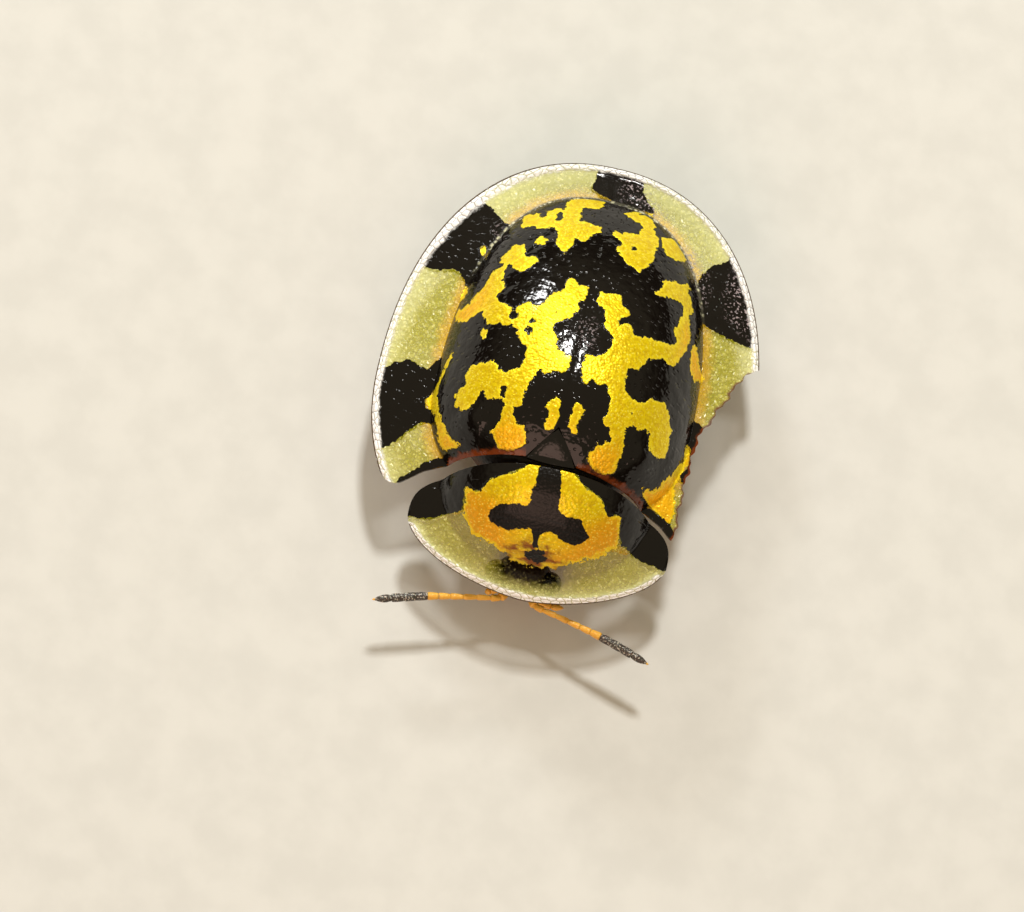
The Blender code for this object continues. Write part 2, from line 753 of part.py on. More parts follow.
def build():
    clear_scene()
    group = new_collection("tortoise_beetle")
    scrap = new_collection("cutters")
    gold = material("gold_and_black_shell", (0.55, 0.36, 0.02), 0.25, 0.3)
    amber = material("amber_pronotum", (0.75, 0.38, 0.03), 0.25, 0.2)
    black = material("black_plate", (0.01, 0.01, 0.012), 0.3)
    brown = material("brown_trunk", (0.12, 0.05, 0.02), 0.5)
    dark = material("dark_head", (0.06, 0.025, 0.01), 0.4)
    eye_black = material("eye_black", (0.01, 0.008, 0.006), 0.15)
    orange = material("orange_limb", (0.62, 0.27, 0.04), 0.4)

    nodes = [
        elytron(1, gold, group),
        elytron(-1, gold, group),
        pronotum(amber, group),
        scutellum(black, group),
        head(dark, group, scrap),
        mouthparts(orange, group, scrap),
    ]
    for side in (-1, 1):
        nodes.append(eye(side, eye_black, group))
        nodes.append(antenna(side, orange, group))

    prothorax = trunk_piece(*PROTHORAX_SPAN, pronotum_height, lambda y: PRONOTUM_DISC, front_power=5)
    thorax = trunk_piece(*THORAX_SPAN, elytra_height, disc_half_width)
    abdomen = trunk_piece(
        *ABDOMEN_SPAN, elytra_height, disc_half_width, back_power=7, segments=ABDOMEN_SEGMENTS
    )
    for name, rings, places in (
        ("prothorax", prothorax, ("front",)),
        ("thorax", thorax, ("middle", "hind")),
        ("abdomen", abdomen, ()),
    ):
        node = mesh_object(name, loft(rings), brown, group)
        if places:
            apply_union(node, coxa_stubs(places, brown))
        nodes.append(node)

    for place_name in LEG_JOINTS:
        for side in (-1, 1):
            nodes.append(leg(place_name, side, orange, group))
    carrier = base_empty(group)
    for node in nodes:
        node.parent = carrier


build()
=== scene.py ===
"""The looks of a life-size tortoise beetle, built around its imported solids.

All outlines and heights are in millimetres from the scutellum, with +X to the
beetle's left, +Y to its tail and z from the floor. to_model turns them to metres.
"""

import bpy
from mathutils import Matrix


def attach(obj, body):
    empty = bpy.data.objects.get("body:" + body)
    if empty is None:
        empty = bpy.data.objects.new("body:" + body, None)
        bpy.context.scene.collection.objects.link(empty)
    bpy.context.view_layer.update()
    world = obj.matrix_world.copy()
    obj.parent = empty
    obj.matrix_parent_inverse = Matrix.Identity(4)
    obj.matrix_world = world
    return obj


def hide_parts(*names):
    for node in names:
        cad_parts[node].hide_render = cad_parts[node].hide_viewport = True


bl_info = {
    "name": "Tortoise Beetle",
    "version": (1, 0, 0),
    "blender": (4, 5, 0),
    "location": "3D View > Sidebar > Beetle",
    "description": "Builds the shell, body, limbs and studio of a life-size tortoise beetle",
    "category": "Object",
}

from math import atan2, cos, pi, radians, sin

import bmesh
import bpy
import numpy as np
from mathutils import Matrix, Vector

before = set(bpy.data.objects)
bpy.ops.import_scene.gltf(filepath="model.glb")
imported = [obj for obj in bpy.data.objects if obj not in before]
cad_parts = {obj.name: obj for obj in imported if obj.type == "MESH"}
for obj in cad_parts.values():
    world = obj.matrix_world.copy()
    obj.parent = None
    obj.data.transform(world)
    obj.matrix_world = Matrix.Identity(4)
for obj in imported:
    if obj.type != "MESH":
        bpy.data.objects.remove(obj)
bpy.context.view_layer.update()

MM = 0.001

# The solids' driving sizes, in mm
SCUTELLUM_X = 0.1
SCUTELLUM_Y = -2.08
RIM_HEIGHT = 1.8
CROWN_RISE = 0.87
HALF_WIDTH = 4.72
WIDEST_Y = 1.9
APEX_Y = 8.34
FRONT_REACH = 4.8
RIM_POWER = 2.22
DISC_HALF_WIDTH = 3.24
DISC_WIDEST_Y = 1.6
DISC_END_Y = 7.34
DISC_FRONT_REACH = 2.75
DISC_POWER = 2.4
HUB_Y = 4.7
HUB_SHARE = 0.6
DOME_HEIGHT = 2.05
DOME_BASE_HEIGHT = 1.62
DOME_PEAK_Y = 1.5
TAIL_POWER = 1.9
TAIL_ROUNDNESS = 0.85
FLANK_POWER = 2.3
FLANK_ROUNDNESS = 0.6
SHOULDER = (2.15, 0.35)
SHOULDER_RISE = 0.16
SHOULDER_SPREAD = 0.55

PRONOTUM_X = 0.13
PRONOTUM_Y = -1.62
PRONOTUM_HALF_WIDTH = 3.27
PRONOTUM_FRONT = 1.63
PRONOTUM_REAR = 1.14
PRONOTUM_FRONT_POWER = 1.7
PRONOTUM_REAR_POWER = 3.0
PRONOTUM_TURN = radians(1.5)
PRONOTUM_DISC = 2.62
PRONOTUM_DISC_LENGTH = 2.05
PRONOTUM_DOME = 1.46
PRONOTUM_POWER = 2.3
PRONOTUM_FLANK_ROUNDNESS = 0.7
PRONOTUM_BROW_POWER = 1.8
PRONOTUM_BROW_ROUNDNESS = 0.9
PRONOTUM_CROWN_SPREAD = 1.04

BASE_EDGE = (
    (0.0, 0.5), (0.62, -0.25), (1.2, -0.27), (2.0, -0.34), (2.5, -0.42), (2.95, -0.62),
    (3.3, -0.88), (3.42, -0.96), (3.55, -1.0), (3.68, -1.0), (3.8, -0.93), (3.95, -0.75),
)
TORN_EDGE = (
    (3.42, -1.6), (3.36, 0.4), (3.42, 1.75), (3.72, 2.5),
    (3.98, 3.15), (4.22, 3.78), (4.8, 4.12),
)
TORN_ROUGHNESS = 0.035

# The gold network on the disc, patch by patch, as outlines of (x, y)
RIGHT_GOLD = {
    "rear_blotch": (
        (-0.26, 7.36), (-0.14, 7.17), (-0.17, 7.03), (-0.29, 6.96), (-0.54, 6.93), (-0.66, 6.89),
        (-0.69, 6.74), (-0.64, 6.54), (-0.67, 6.37), (-0.54, 6.39), (-0.44, 6.37), (-0.29, 6.3),
        (-0.16, 6.34), (-0.1, 6.23), (-0.11, 6.09), (-0.26, 6.03), (-0.34, 5.89), (-0.4, 5.74),
        (-0.5, 5.66), (-0.61, 5.73), (-0.67, 5.74), (-0.71, 5.54), (-0.79, 5.31), (-0.84, 5.17),
        (-0.91, 5.2), (-1.0, 5.34), (-1.11, 5.46), (-1.11, 5.69), (-1.17, 5.89), (-1.2, 6.03),
        (-1.29, 6.06), (-1.4, 5.99), (-1.61, 5.91), (-1.71, 5.96), (-1.8, 6.03), (-1.89, 6.0),
        (-1.99, 5.89), (-2.03, 6.0), (-2.03, 6.2), (-2.07, 6.39), (-1.86, 6.46), (-1.69, 6.5),
        (-1.53, 6.49), (-1.49, 6.6), (-1.29, 6.7), (-1.19, 6.71), (-1.11, 6.66), (-1.09, 6.77),
        (-1.06, 6.97), (-0.97, 7.2), (-0.6, 7.3),
    ),
    "rear_spot": (
        (-1.67, 5.5), (-1.57, 5.63), (-1.45, 5.68), (-1.36, 5.62), (-1.36, 5.45), (-1.47, 5.36),
        (-1.6, 5.4),
    ),
    "side_arm": (
        (-1.4, 3.05), (-1.75, 3.03), (-1.82, 3.15), (-1.81, 3.42), (-1.94, 3.48), (-2.11, 3.53),
        (-2.2, 3.65), (-2.21, 3.76), (-2.11, 3.92), (-2.11, 4.06), (-2.2, 4.23), (-2.18, 4.46),
        (-2.17, 4.7), (-2.08, 4.71), (-2.03, 4.61), (-1.94, 4.51), (-1.77, 4.51), (-1.67, 4.57),
        (-1.6, 4.69), (-1.47, 4.79), (-1.44, 4.89), (-1.5, 4.98), (-1.63, 5.0), (-1.69, 4.94),
        (-1.8, 4.98), (-1.84, 5.31), (-1.91, 5.36), (-1.99, 5.33), (-2.14, 5.31), (-2.2, 5.17),
        (-2.26, 5.04), (-2.41, 4.93), (-2.36, 4.79), (-2.3, 4.69), (-2.33, 4.59), (-2.51, 4.5),
        (-2.53, 4.26), (-2.57, 4.06), (-2.71, 3.91), (-2.81, 3.69), (-2.94, 3.49), (-3.13, 3.55),
        (-3.12, 3.4), (-2.99, 3.1), (-2.77, 3.1), (-2.66, 3.2), (-2.61, 3.32), (-2.53, 3.35),
        (-2.48, 3.3), (-2.43, 3.1), (-2.32, 3.0), (-2.24, 2.89), (-2.03, 2.92), (-1.93, 2.85),
        (-1.82, 2.84), (-1.72, 2.89), (-1.6, 2.82), (-1.4, 2.8),
    ),
    "centre": (
        (-1.6, 2.84), (-1.62, 3.07), (-1.58, 3.17), (-1.65, 3.26), (-1.71, 3.4), (-1.57, 3.47),
        (-1.51, 3.56), (-1.4, 3.59), (-1.33, 3.51), (-1.23, 3.47), (-1.14, 3.5), (-1.1, 3.6),
        (-1.03, 3.74), (-0.97, 3.89), (-0.8, 3.97), (-0.7, 4.01), (-0.66, 4.13), (-0.63, 4.31),
        (-0.59, 4.46), (-0.49, 4.48), (-0.41, 4.4), (-0.33, 4.31), (-0.24, 4.26), (-0.17, 4.31),
        (-0.07, 4.29), (-0.07, 4.09), (-0.1, 3.91), (-0.2, 3.86), (-0.31, 3.76), (-0.17, 3.64),
        (-0.27, 3.46), (-0.37, 3.31), (-0.45, 3.17), (-0.61, 3.14), (-0.72, 3.0), (-0.62, 2.75),
        (-0.5, 2.5), (-0.3, 2.25), (-0.11, 2.3), (-0.08, 2.0), (-0.15, 1.81), (-0.25, 1.78),
        (-0.3, 1.84), (-0.37, 1.89), (-0.42, 1.81), (-0.5, 1.71), (-0.61, 1.64), (-0.69, 1.7),
        (-0.74, 1.8), (-0.8, 1.75), (-0.86, 1.67), (-0.93, 1.44), (-0.99, 1.22), (-1.06, 1.09),
        (-1.02, 1.0), (-1.02, 0.84), (-1.12, 0.77), (-1.24, 0.76), (-1.42, 0.84), (-1.48, 1.65),
        (-1.37, 1.67), (-1.28, 1.73), (-1.22, 1.89), (-1.21, 2.25), (-1.26, 2.34), (-1.37, 2.43),
        (-1.47, 2.5), (-1.5, 2.63), (-1.55, 2.76),
    ),
    "shoulder_lobe": (
        (-1.2, 1.7), (-1.48, 1.65), (-1.56, 1.61), (-1.66, 1.64), (-1.75, 1.65), (-1.8, 1.72),
        (-1.86, 1.81), (-1.9, 1.88), (-2.03, 1.87), (-2.11, 1.81), (-2.24, 1.82), (-2.41, 1.81),
        (-2.49, 1.72), (-2.54, 1.6), (-2.5, 1.42), (-2.48, 1.25), (-2.61, 1.17), (-2.66, 1.06),
        (-2.66, 0.92), (-2.61, 0.76), (-2.5, 0.65), (-2.33, 0.6), (-2.24, 0.68), (-2.19, 0.81),
        (-2.11, 1.0), (-2.03, 1.1), (-1.97, 1.13), (-1.93, 1.01), (-1.85, 0.89), (-1.78, 0.86),
        (-1.74, 0.93), (-1.65, 0.97), (-1.58, 0.93), (-1.43, 0.84), (-1.2, 0.86),
    ),
    "base_lobe": (
        (-1.2, 0.98), (-1.4, 0.98), (-1.44, 0.7), (-1.47, 0.52), (-1.49, 0.3), (-1.6, 0.18),
        (-1.5, 0.0), (-1.37, -0.18), (-1.22, -0.24), (-1.02, -0.23), (-0.87, -0.15),
        (-0.74, -0.06), (-0.68, 0.02), (-0.83, 0.35), (-1.0, 0.36), (-1.23, 0.7),
    ),
    "drop": (
        (-0.19, 1.2), (-0.12, 1.07), (-0.06, 0.86), (-0.04, 0.68), (-0.08, 0.55), (-0.16, 0.44),
        (-0.3, 0.35), (-0.37, 0.44), (-0.33, 0.57), (-0.3, 0.7), (-0.33, 0.78), (-0.45, 0.84),
        (-0.41, 0.97), (-0.31, 1.1),
    ),
    "border": (
        (-2.98, 2.3), (-2.93, 2.2), (-3.02, 1.85), (-3.1, 1.5), (-3.1, 1.25), (-3.05, 1.0),
        (-2.9, 0.6), (-2.7, 0.25), (-2.45, 0.0), (-2.2, -0.16), (-2.6, -0.2), (-2.8, 0.05),
        (-2.98, 0.45), (-3.12, 0.78), (-3.35, 1.0), (-3.37, 1.15), (-3.23, 1.28), (-3.18, 1.5),
        (-3.12, 1.9), (-3.04, 2.2),
    ),
}
LEFT_GOLD = {
    "rear_blotch": (
        (0.31, 7.0), (0.49, 7.09), (0.66, 7.26), (0.89, 7.29), (1.11, 7.29), (1.14, 7.11),
        (1.17, 6.94), (1.2, 6.74), (1.23, 6.6), (1.37, 6.54), (1.37, 6.31), (1.36, 6.0),
        (1.34, 5.77), (1.27, 5.51), (1.11, 5.26), (1.06, 5.17), (0.91, 5.24), (0.63, 5.36),
        (0.53, 5.54), (0.4, 5.71), (0.41, 5.81), (0.49, 5.89), (0.47, 6.01), (0.23, 6.06),
        (0.21, 6.31), (0.3, 6.34), (0.4, 6.24), (0.54, 6.34), (0.69, 6.37), (0.86, 6.37),
        (0.86, 6.54), (0.87, 6.74), (0.77, 6.84), (0.57, 6.9), (0.43, 6.97),
    ),
    "rear_side": (
        (1.4, 6.51), (1.51, 6.63), (1.8, 6.71), (1.93, 6.66), (1.97, 6.51), (2.14, 6.37),
        (2.14, 6.17), (2.0, 6.03), (1.77, 6.0), (1.6, 6.06), (1.51, 6.23),
    ),
    "side_arm": (
        (1.35, 3.3), (1.51, 3.37), (1.77, 3.41), (1.94, 3.43), (2.26, 3.49), (2.37, 3.63),
        (2.31, 3.77), (2.23, 3.91), (2.26, 4.09), (2.34, 4.29), (2.36, 4.51), (2.31, 4.74),
        (2.23, 4.81), (1.97, 4.81), (1.8, 4.77), (1.66, 4.67), (1.53, 4.7), (1.6, 4.81),
        (1.7, 4.93), (1.7, 5.23), (1.97, 5.34), (2.17, 5.37), (2.29, 5.49), (2.39, 5.43),
        (2.39, 5.2), (2.56, 4.97), (2.59, 4.74), (2.49, 4.57), (2.59, 4.37), (2.66, 4.09),
        (2.69, 3.8), (2.6, 3.51), (2.51, 3.26), (2.47, 3.07), (2.38, 2.96), (2.27, 2.97),
        (2.2, 3.05), (2.09, 3.06), (1.98, 2.94), (1.83, 2.88), (1.72, 2.76), (1.4, 2.7),
    ),
    "centre": (
        (1.35, 0.9), (1.23, 0.81), (1.14, 0.8), (1.06, 0.84), (1.01, 0.94), (1.06, 1.07),
        (1.1, 1.2), (1.09, 1.42), (1.02, 1.6), (0.96, 1.73), (0.89, 1.82), (0.81, 1.78),
        (0.72, 1.71), (0.62, 1.73), (0.56, 1.84), (0.5, 1.85), (0.5, 1.73), (0.34, 1.64),
        (0.27, 1.76), (0.22, 1.97), (0.2, 2.2), (0.23, 2.39), (0.46, 2.45), (0.7, 2.5),
        (0.78, 2.75), (0.8, 3.0), (0.69, 3.15), (0.59, 3.23), (0.48, 3.36), (0.5, 3.45),
        (0.47, 3.66), (0.43, 3.8), (0.27, 3.84), (0.2, 4.0), (0.2, 4.17), (0.24, 4.31),
        (0.31, 4.31), (0.36, 4.23), (0.47, 4.29), (0.63, 4.34), (0.74, 4.31), (0.8, 4.17),
        (0.83, 4.01), (1.0, 3.96), (1.1, 3.86), (1.03, 3.76), (0.86, 3.67), (0.84, 3.49),
        (0.86, 3.37), (0.94, 3.51), (1.09, 3.6), (1.2, 3.54), (1.26, 3.34), (1.4, 3.31),
        (1.6, 3.3), (1.72, 2.76), (1.63, 2.6), (1.54, 2.44), (1.38, 2.4), (1.33, 2.26),
        (1.33, 2.02), (1.38, 1.84), (1.47, 1.72), (1.55, 1.2), (1.5, 0.95),
    ),
    "shoulder_lobe": (
        (1.3, 1.75), (1.47, 1.72), (1.64, 1.68), (1.83, 1.63), (1.9, 1.69), (1.98, 1.84),
        (2.09, 1.92), (2.35, 1.94), (2.51, 1.89), (2.63, 1.65), (2.72, 1.42), (2.77, 1.15),
        (2.73, 0.86), (2.64, 0.68), (2.48, 0.63), (2.33, 0.69), (2.25, 0.86), (2.21, 1.05),
        (2.09, 1.14), (2.01, 1.05), (1.9, 0.97), (1.83, 1.03), (1.72, 1.02), (1.6, 1.0),
        (1.3, 0.95),
    ),
    "base_lobe": (
        (1.2, 1.1), (1.6, 1.1), (1.62, 0.76), (1.66, 0.44), (1.62, 0.1), (1.51, -0.14),
        (1.35, -0.23), (1.12, -0.23), (0.96, -0.14), (0.81, 0.0), (0.93, 0.18), (1.0, 0.34),
        (1.12, 0.38), (1.22, 0.46), (1.33, 0.55), (1.27, 0.68), (1.22, 0.8),
    ),
    "drop": (
        (0.34, 1.19), (0.46, 1.1), (0.55, 0.94), (0.51, 0.84), (0.42, 0.78), (0.44, 0.6),
        (0.46, 0.47), (0.4, 0.4), (0.27, 0.5), (0.2, 0.63), (0.21, 0.84), (0.23, 1.05),
    ),
    "margin_root": (
        (2.72, 3.75), (2.78, 3.4), (2.86, 3.15), (2.97, 3.0), (3.05, 3.05), (3.2, 3.2),
        (3.28, 3.35), (3.05, 3.5), (2.95, 3.75), (2.85, 3.95),
    ),
    "border": (
        (2.3, -0.15), (2.6, 0.0), (2.9, 0.4), (3.05, 0.75), (3.2, 1.05), (3.15, 1.5),
        (3.25, 1.5), (3.4, 1.15), (3.25, 0.8), (3.12, 0.4), (3.25, -0.1), (3.25, -0.6),
        (2.95, -0.4), (2.6, -0.25),
    ),
}

# Small round marks as (x, y, half width, half length): dark dots in the gold, gold dots in the dark
DARK_DOTS = (
    (-1.57, 6.41, 0.1, 0.09), (-1.18, 6.43, 0.07, 0.13), (-1.53, 1.12, 0.09, 0.14),
    (-1.25, 3.05, 0.07, 0.08), (-1.28, 2.77, 0.09, 0.12), (-0.7, 3.42, 0.05, 0.05),
    (0.8, 5.87, 0.06, 0.06), (1.65, 1.31, 0.04, 0.04), (0.77, 7.15, 0.05, 0.04),
)
GOLD_DOTS = (
    (-2.33, 2.63, 0.08, 0.13), (-2.83, 5.27, 0.09, 0.14), (-3.02, 4.05, 0.06, 0.18),
)

# The black patches of the spread margins
MARGIN_BLACK = {
    "apex": ((-0.48, 8.6), (-0.5, 7.85), (-0.62, 7.65), (-0.3, 7.45), (0.4, 7.3), (1.15, 7.3),
             (1.0, 7.5), (0.72, 7.75), (0.66, 8.6)),
    "right_rear": ((-4.8, 4.62), (-4.1, 4.6), (-3.75, 4.56), (-3.45, 4.66), (-3.2, 4.52),
                   (-3.0, 4.2), (-2.95, 3.5), (-2.4, 4.6), (-2.2, 6.1), (-2.55, 6.2),
                   (-2.72, 6.4), (-3.05, 6.58), (-3.5, 7.2), (-4.6, 6.2)),
    "right_front": ((-5.0, 1.78), (-4.47, 1.78), (-4.33, 2.03), (-4.25, 1.98), (-4.0, 2.13),
                    (-3.8, 2.03), (-3.6, 1.93), (-3.4, 1.93), (-3.33, 2.23), (-2.9, 2.4),
                    (-2.9, 0.2), (-3.08, 0.5), (-3.33, 0.57), (-3.73, 0.1), (-4.07, -0.23),
                    (-4.8, -0.5)),
    "right_base": ((0.0, 0.3), (-0.7, -0.15), (-2.3, -0.2), (-2.7, -0.27), (-3.0, -0.42),
                   (-3.35, -0.75), (-3.62, -1.0), (-3.5, -1.5), (-2.4, -1.0), (0.0, -1.0)),
    "left_rear": ((3.4, 7.0), (3.27, 6.73), (3.07, 6.5), (2.8, 6.33), (2.62, 6.1), (2.4, 5.0),
                  (2.9, 4.7), (3.2, 4.63), (3.47, 4.57), (3.93, 4.5), (4.8, 4.45), (4.6, 6.0)),
    "left_front": ((3.0, 2.2), (3.25, 2.2), (3.6, 2.0), (3.6, 0.5), (3.16, 0.6), (3.3, 0.95),
                   (3.1, 1.6)),
    "left_base": ((0.0, 0.3), (0.7, -0.15), (2.3, -0.25), (2.7, -0.3), (3.0, -0.38), (3.3, -0.5),
                  (3.5, -1.2), (2.4, -1.0), (0.0, -1.0)),
}

# Places where pale purple-grey specks are painted on the cuticle: beside the suture in the middle
# of the disc they are painted glints, elsewhere a frost on the black
FROST_AND_GLINT_PLACES = (
    ((0.03, 8.5), (0.06, 7.4), (0.8, 7.15), (1.5, 7.0), (1.7, 7.35), (1.1, 7.8), (0.7, 8.5)),
    ((1.75, 6.35), (2.3, 5.7), (2.75, 5.0), (3.0, 5.2), (2.9, 6.1), (2.2, 6.9)),
    ((3.2, 6.6), (3.15, 5.2), (3.9, 4.6), (4.8, 4.5), (4.4, 6.2), (3.8, 6.8)),
    ((-2.9, 5.9), (-2.45, 5.4), (-2.3, 5.8), (-2.6, 6.3)),
    ((-0.25, 3.4), (0.0, 2.3), (0.4, 2.5), (0.5, 3.0), (0.3, 3.6)),
)

# The pronotum's marks, in mm from its own middle before it is turned
AMBER = (
    (-1.97, 0.04), (-1.96, 0.21), (-2.05, 0.65), (-1.88, 0.52), (-1.66, 0.41), (-1.53, 0.65),
    (-1.4, 0.76), (-1.01, 0.87), (-0.75, 1.02), (-0.53, 1.21), (-0.3, 1.35), (0.3, 1.35),
    (0.51, 1.17), (0.69, 1.02), (0.86, 0.89), (1.17, 0.82), (1.38, 0.73), (1.51, 0.47),
    (1.73, 0.54), (1.9, 0.65), (1.9, 0.34), (1.99, 0.02), (1.75, -0.22), (1.47, -0.42),
    (1.08, -0.57), (0.73, -0.72), (0.38, -0.83), (0.03, -0.87), (-0.36, -0.85), (-0.6, -0.79),
    (-0.83, -0.7), (-1.14, -0.57), (-1.44, -0.48), (-1.75, -0.27),
)
PRONOTUM_BLACK = {
    "right_side": (
        (-3.6, -0.04), (-2.88, -0.11), (-2.66, -0.09), (-2.44, 0.02), (-2.27, 0.06),
        (-1.99, 0.04), (-1.97, 0.21), (-2.05, 0.65), (-1.88, 0.52), (-1.66, 0.41),
        (-1.53, 0.65), (-1.4, 0.76), (-1.01, 0.87), (-0.75, 1.02), (-0.53, 1.21),
        (-0.25, 1.34), (-1.0, 1.5), (-3.6, 1.4),
    ),
    "left_side": (
        (3.6, -0.1), (3.03, -0.09), (2.69, -0.09), (2.43, 0.0), (2.25, 0.04), (1.99, 0.06),
        (1.9, 0.34), (1.9, 0.65), (1.73, 0.54), (1.51, 0.47), (1.38, 0.73), (1.17, 0.82),
        (0.86, 0.89), (0.69, 1.02), (0.51, 1.17), (0.25, 1.34), (1.0, 1.5), (3.6, 1.4),
    ),
    "stem": (
        (-0.27, 1.4), (-0.36, 0.95), (-0.4, 0.52), (-0.38, 0.25), (-0.62, 0.19), (-0.97, 0.23),
        (-1.18, 0.15), (-1.36, -0.03), (-1.23, -0.2), (-0.97, -0.31), (-0.7, -0.31),
        (-0.44, -0.22), (-0.23, -0.2), (-0.14, -0.33), (-0.12, -0.55), (0.02, -0.55),
        (0.03, -0.35), (0.1, -0.2), (0.25, -0.2), (0.51, -0.27), (0.73, -0.35), (0.95, -0.31),
        (1.17, -0.2), (1.21, -0.05), (1.03, 0.06), (0.95, 0.21), (0.77, 0.17), (0.47, 0.17),
        (0.34, 0.23), (0.3, 0.56), (0.21, 1.04), (0.14, 1.4),
    ),
    "brow": (
        (-0.27, -0.62), (-0.05, -0.55), (0.3, -0.62), (0.33, -0.74), (0.05, -0.79),
        (-0.22, -0.76),
    ),
}

# The body below the shield, the head and the limbs, in mm
TRUNK_FRONT = -1.85
TRUNK_REAR = 6.78
TRUNK_BOTTOM = 0.85
TRUNK_SIDE = 2.05
TRUNK_CLEARANCE = 0.88
SIDE_SHARE = 0.7
BACK_POWER = 0.9
BELLY_POWER = 1.7
END_POWER = 14.0
WAIST_Y = -0.3
WAIST_DEPTH = 0.07
WAIST_WIDTH = 0.12
SEAM_DEPTH = 0.07
SEAM_WIDTH = 0.035
SEAMS = (-0.3, 0.55, 1.75, 2.87, 3.73, 4.49, 5.24, 6.0)
HEAD_CENTRE = (0.0, -2.34, 1.02)
HEAD_SIZE = (0.72, 0.5, 0.48)
EYE_SIZE = (0.29, 0.3, 0.34)
EYE_PLACE = (0.68, -0.1, 0.08)
LEG_ROUTES = {
    "front": ((0.8, -1.0, 0.72), (1.8, -0.95, 1.3), (2.03, -0.8, 0.3), (2.42, -0.7, 0.12)),
    "middle": ((0.95, 0.85, 0.72), (2.15, 1.0, 1.34), (2.4, 1.05, 0.3), (2.8, 1.12, 0.12)),
    "hind": ((0.9, 2.25, 0.72), (2.05, 2.95, 1.14), (2.44, 3.36, 0.3), (2.76, 3.66, 0.12)),
}
FEMUR_RADIUS = 0.25
TIBIA_RADIUS = 0.17
CLAW_RADIUS = 0.035
FOOT_HEIGHT = 0.12
ANTENNA_ROUTE = (
    (0.24, -2.76, 1.0), (0.36, -3.06, 1.1), (1.25, -3.31, 1.26), (2.3, -3.58, 1.35),
    (3.49, -3.96, 1.35),
)
ANTENNA_JOINTS = (1.5, 0.8, 1.2, 1.1, 1.1, 0.95, 0.95, 0.95, 0.95, 1.0, 1.55)
ANTENNA_RADII = (1.25, 0.95, 0.78, 0.8, 0.84, 0.9, 1.05, 1.12, 1.16, 1.14, 1.05)
ANTENNA_RADIUS = 0.095
DARK_JOINTS = 7
SCUTELLUM_CORNERS = ((-0.6, -0.3), (0.6, -0.3), (0.0, 0.44))

# Profiles of limb joints as (share of the length, share of the radius)
FEMUR = ((0, 0), (0.01, 0.3), (0.06, 0.5), (0.3, 0.92), (0.5, 1), (0.75, 0.85), (0.93, 0.6),
         (0.99, 0.35), (1, 0))
TIBIA = ((0, 0), (0.01, 0.35), (0.05, 0.55), (0.3, 0.65), (0.7, 0.8), (0.93, 1), (0.985, 0.7),
         (1, 0))
BARREL = ((0, 0), (0.015, 0.5), (0.08, 0.76), (0.35, 0.9), (0.75, 1), (0.92, 0.93),
          (0.985, 0.6), (1, 0))
CLUB = ((0, 0), (0.015, 0.75), (0.08, 0.92), (0.4, 1), (0.7, 1), (0.94, 0.95), (0.99, 0.8), (1, 0))
SPINDLE = ((0, 0), (0.015, 0.5), (0.1, 0.8), (0.35, 1), (0.6, 0.85), (0.85, 0.4), (1, 0))
LOBE = ((0, 0), (0.02, 0.4), (0.12, 0.8), (0.5, 1), (0.85, 0.8), (0.97, 0.4), (1, 0))
CLAW = ((0, 0), (0.03, 0.8), (0.2, 1), (0.6, 0.6), (1, 0))

# Brown wrinkles at the front of the amber middle
SMEAR = ((-1.0, -0.62), (-0.65, -0.5), (-0.35, -0.46), (-0.18, -0.36), (0.05, -0.34), (0.25, -0.45),
         (0.6, -0.56), (0.85, -0.68), (0.45, -0.9), (0.0, -1.0), (-0.55, -0.92))

STRIAE = 11.0
SUTURE_DEPTH = 0.014
SUTURE_WIDTH = 0.035

# How much of what lies below their clear margins one face of each hides
WING_VEIL = 0.42
PRONOTUM_VEIL = 0.3

# Mesh fineness
ROWS = 240
DOME_RINGS = 66
MARGIN_RINGS = 32
BASE_SHARE = 0.15
PRONOTUM_ROWS = 320
PRONOTUM_DOME_RINGS = 40
PRONOTUM_MARGIN_RINGS = 30
LEAST_MARGIN = 0.85
HALVINGS = 32

# The camera: the photo's width in mm, and where the scutellum stands in its frame
FRAME_WIDTH_PX = 1024
FRAME_HEIGHT_PX = 912
PIXELS_PER_MM = 40.76
SCUTELLUM_PX = (556.0, 440.0)
CAMERA_ELEVATION = radians(72.0)
CAMERA_ROLL = radians(13.3)
CAMERA_DISTANCE = 250.0
SENSOR_MM = 36.0

# The soft lights: name, place in mm, size in mm, watts and colour
SOFTBOXES = (
    ("key_light", (-12.0, 134.0, 200.0), (28.0, 28.0), 0.46, (1.0, 0.98, 0.93)),
    ("rim_light", (-120.0, 190.0, 110.0), (50.0, 30.0), 0.22, (1.0, 1.0, 0.98)),
    ("front_card", (-15.0, -180.0, 110.0), (170.0, 130.0), 0.22, (0.83, 0.52, 0.42)),
)
FLOOR_HALF_WIDTH = 0.6


def linear(hex_colour):
    """A linear RGB colour from an sRGB hex value such as #f2c41a."""
    values = [int(hex_colour[i : i + 2], 16) / 255.0 for i in (1, 3, 5)]
    return tuple(v / 12.92 if v <= 0.04045 else ((v + 0.055) / 1.055) ** 2.4 for v in values)


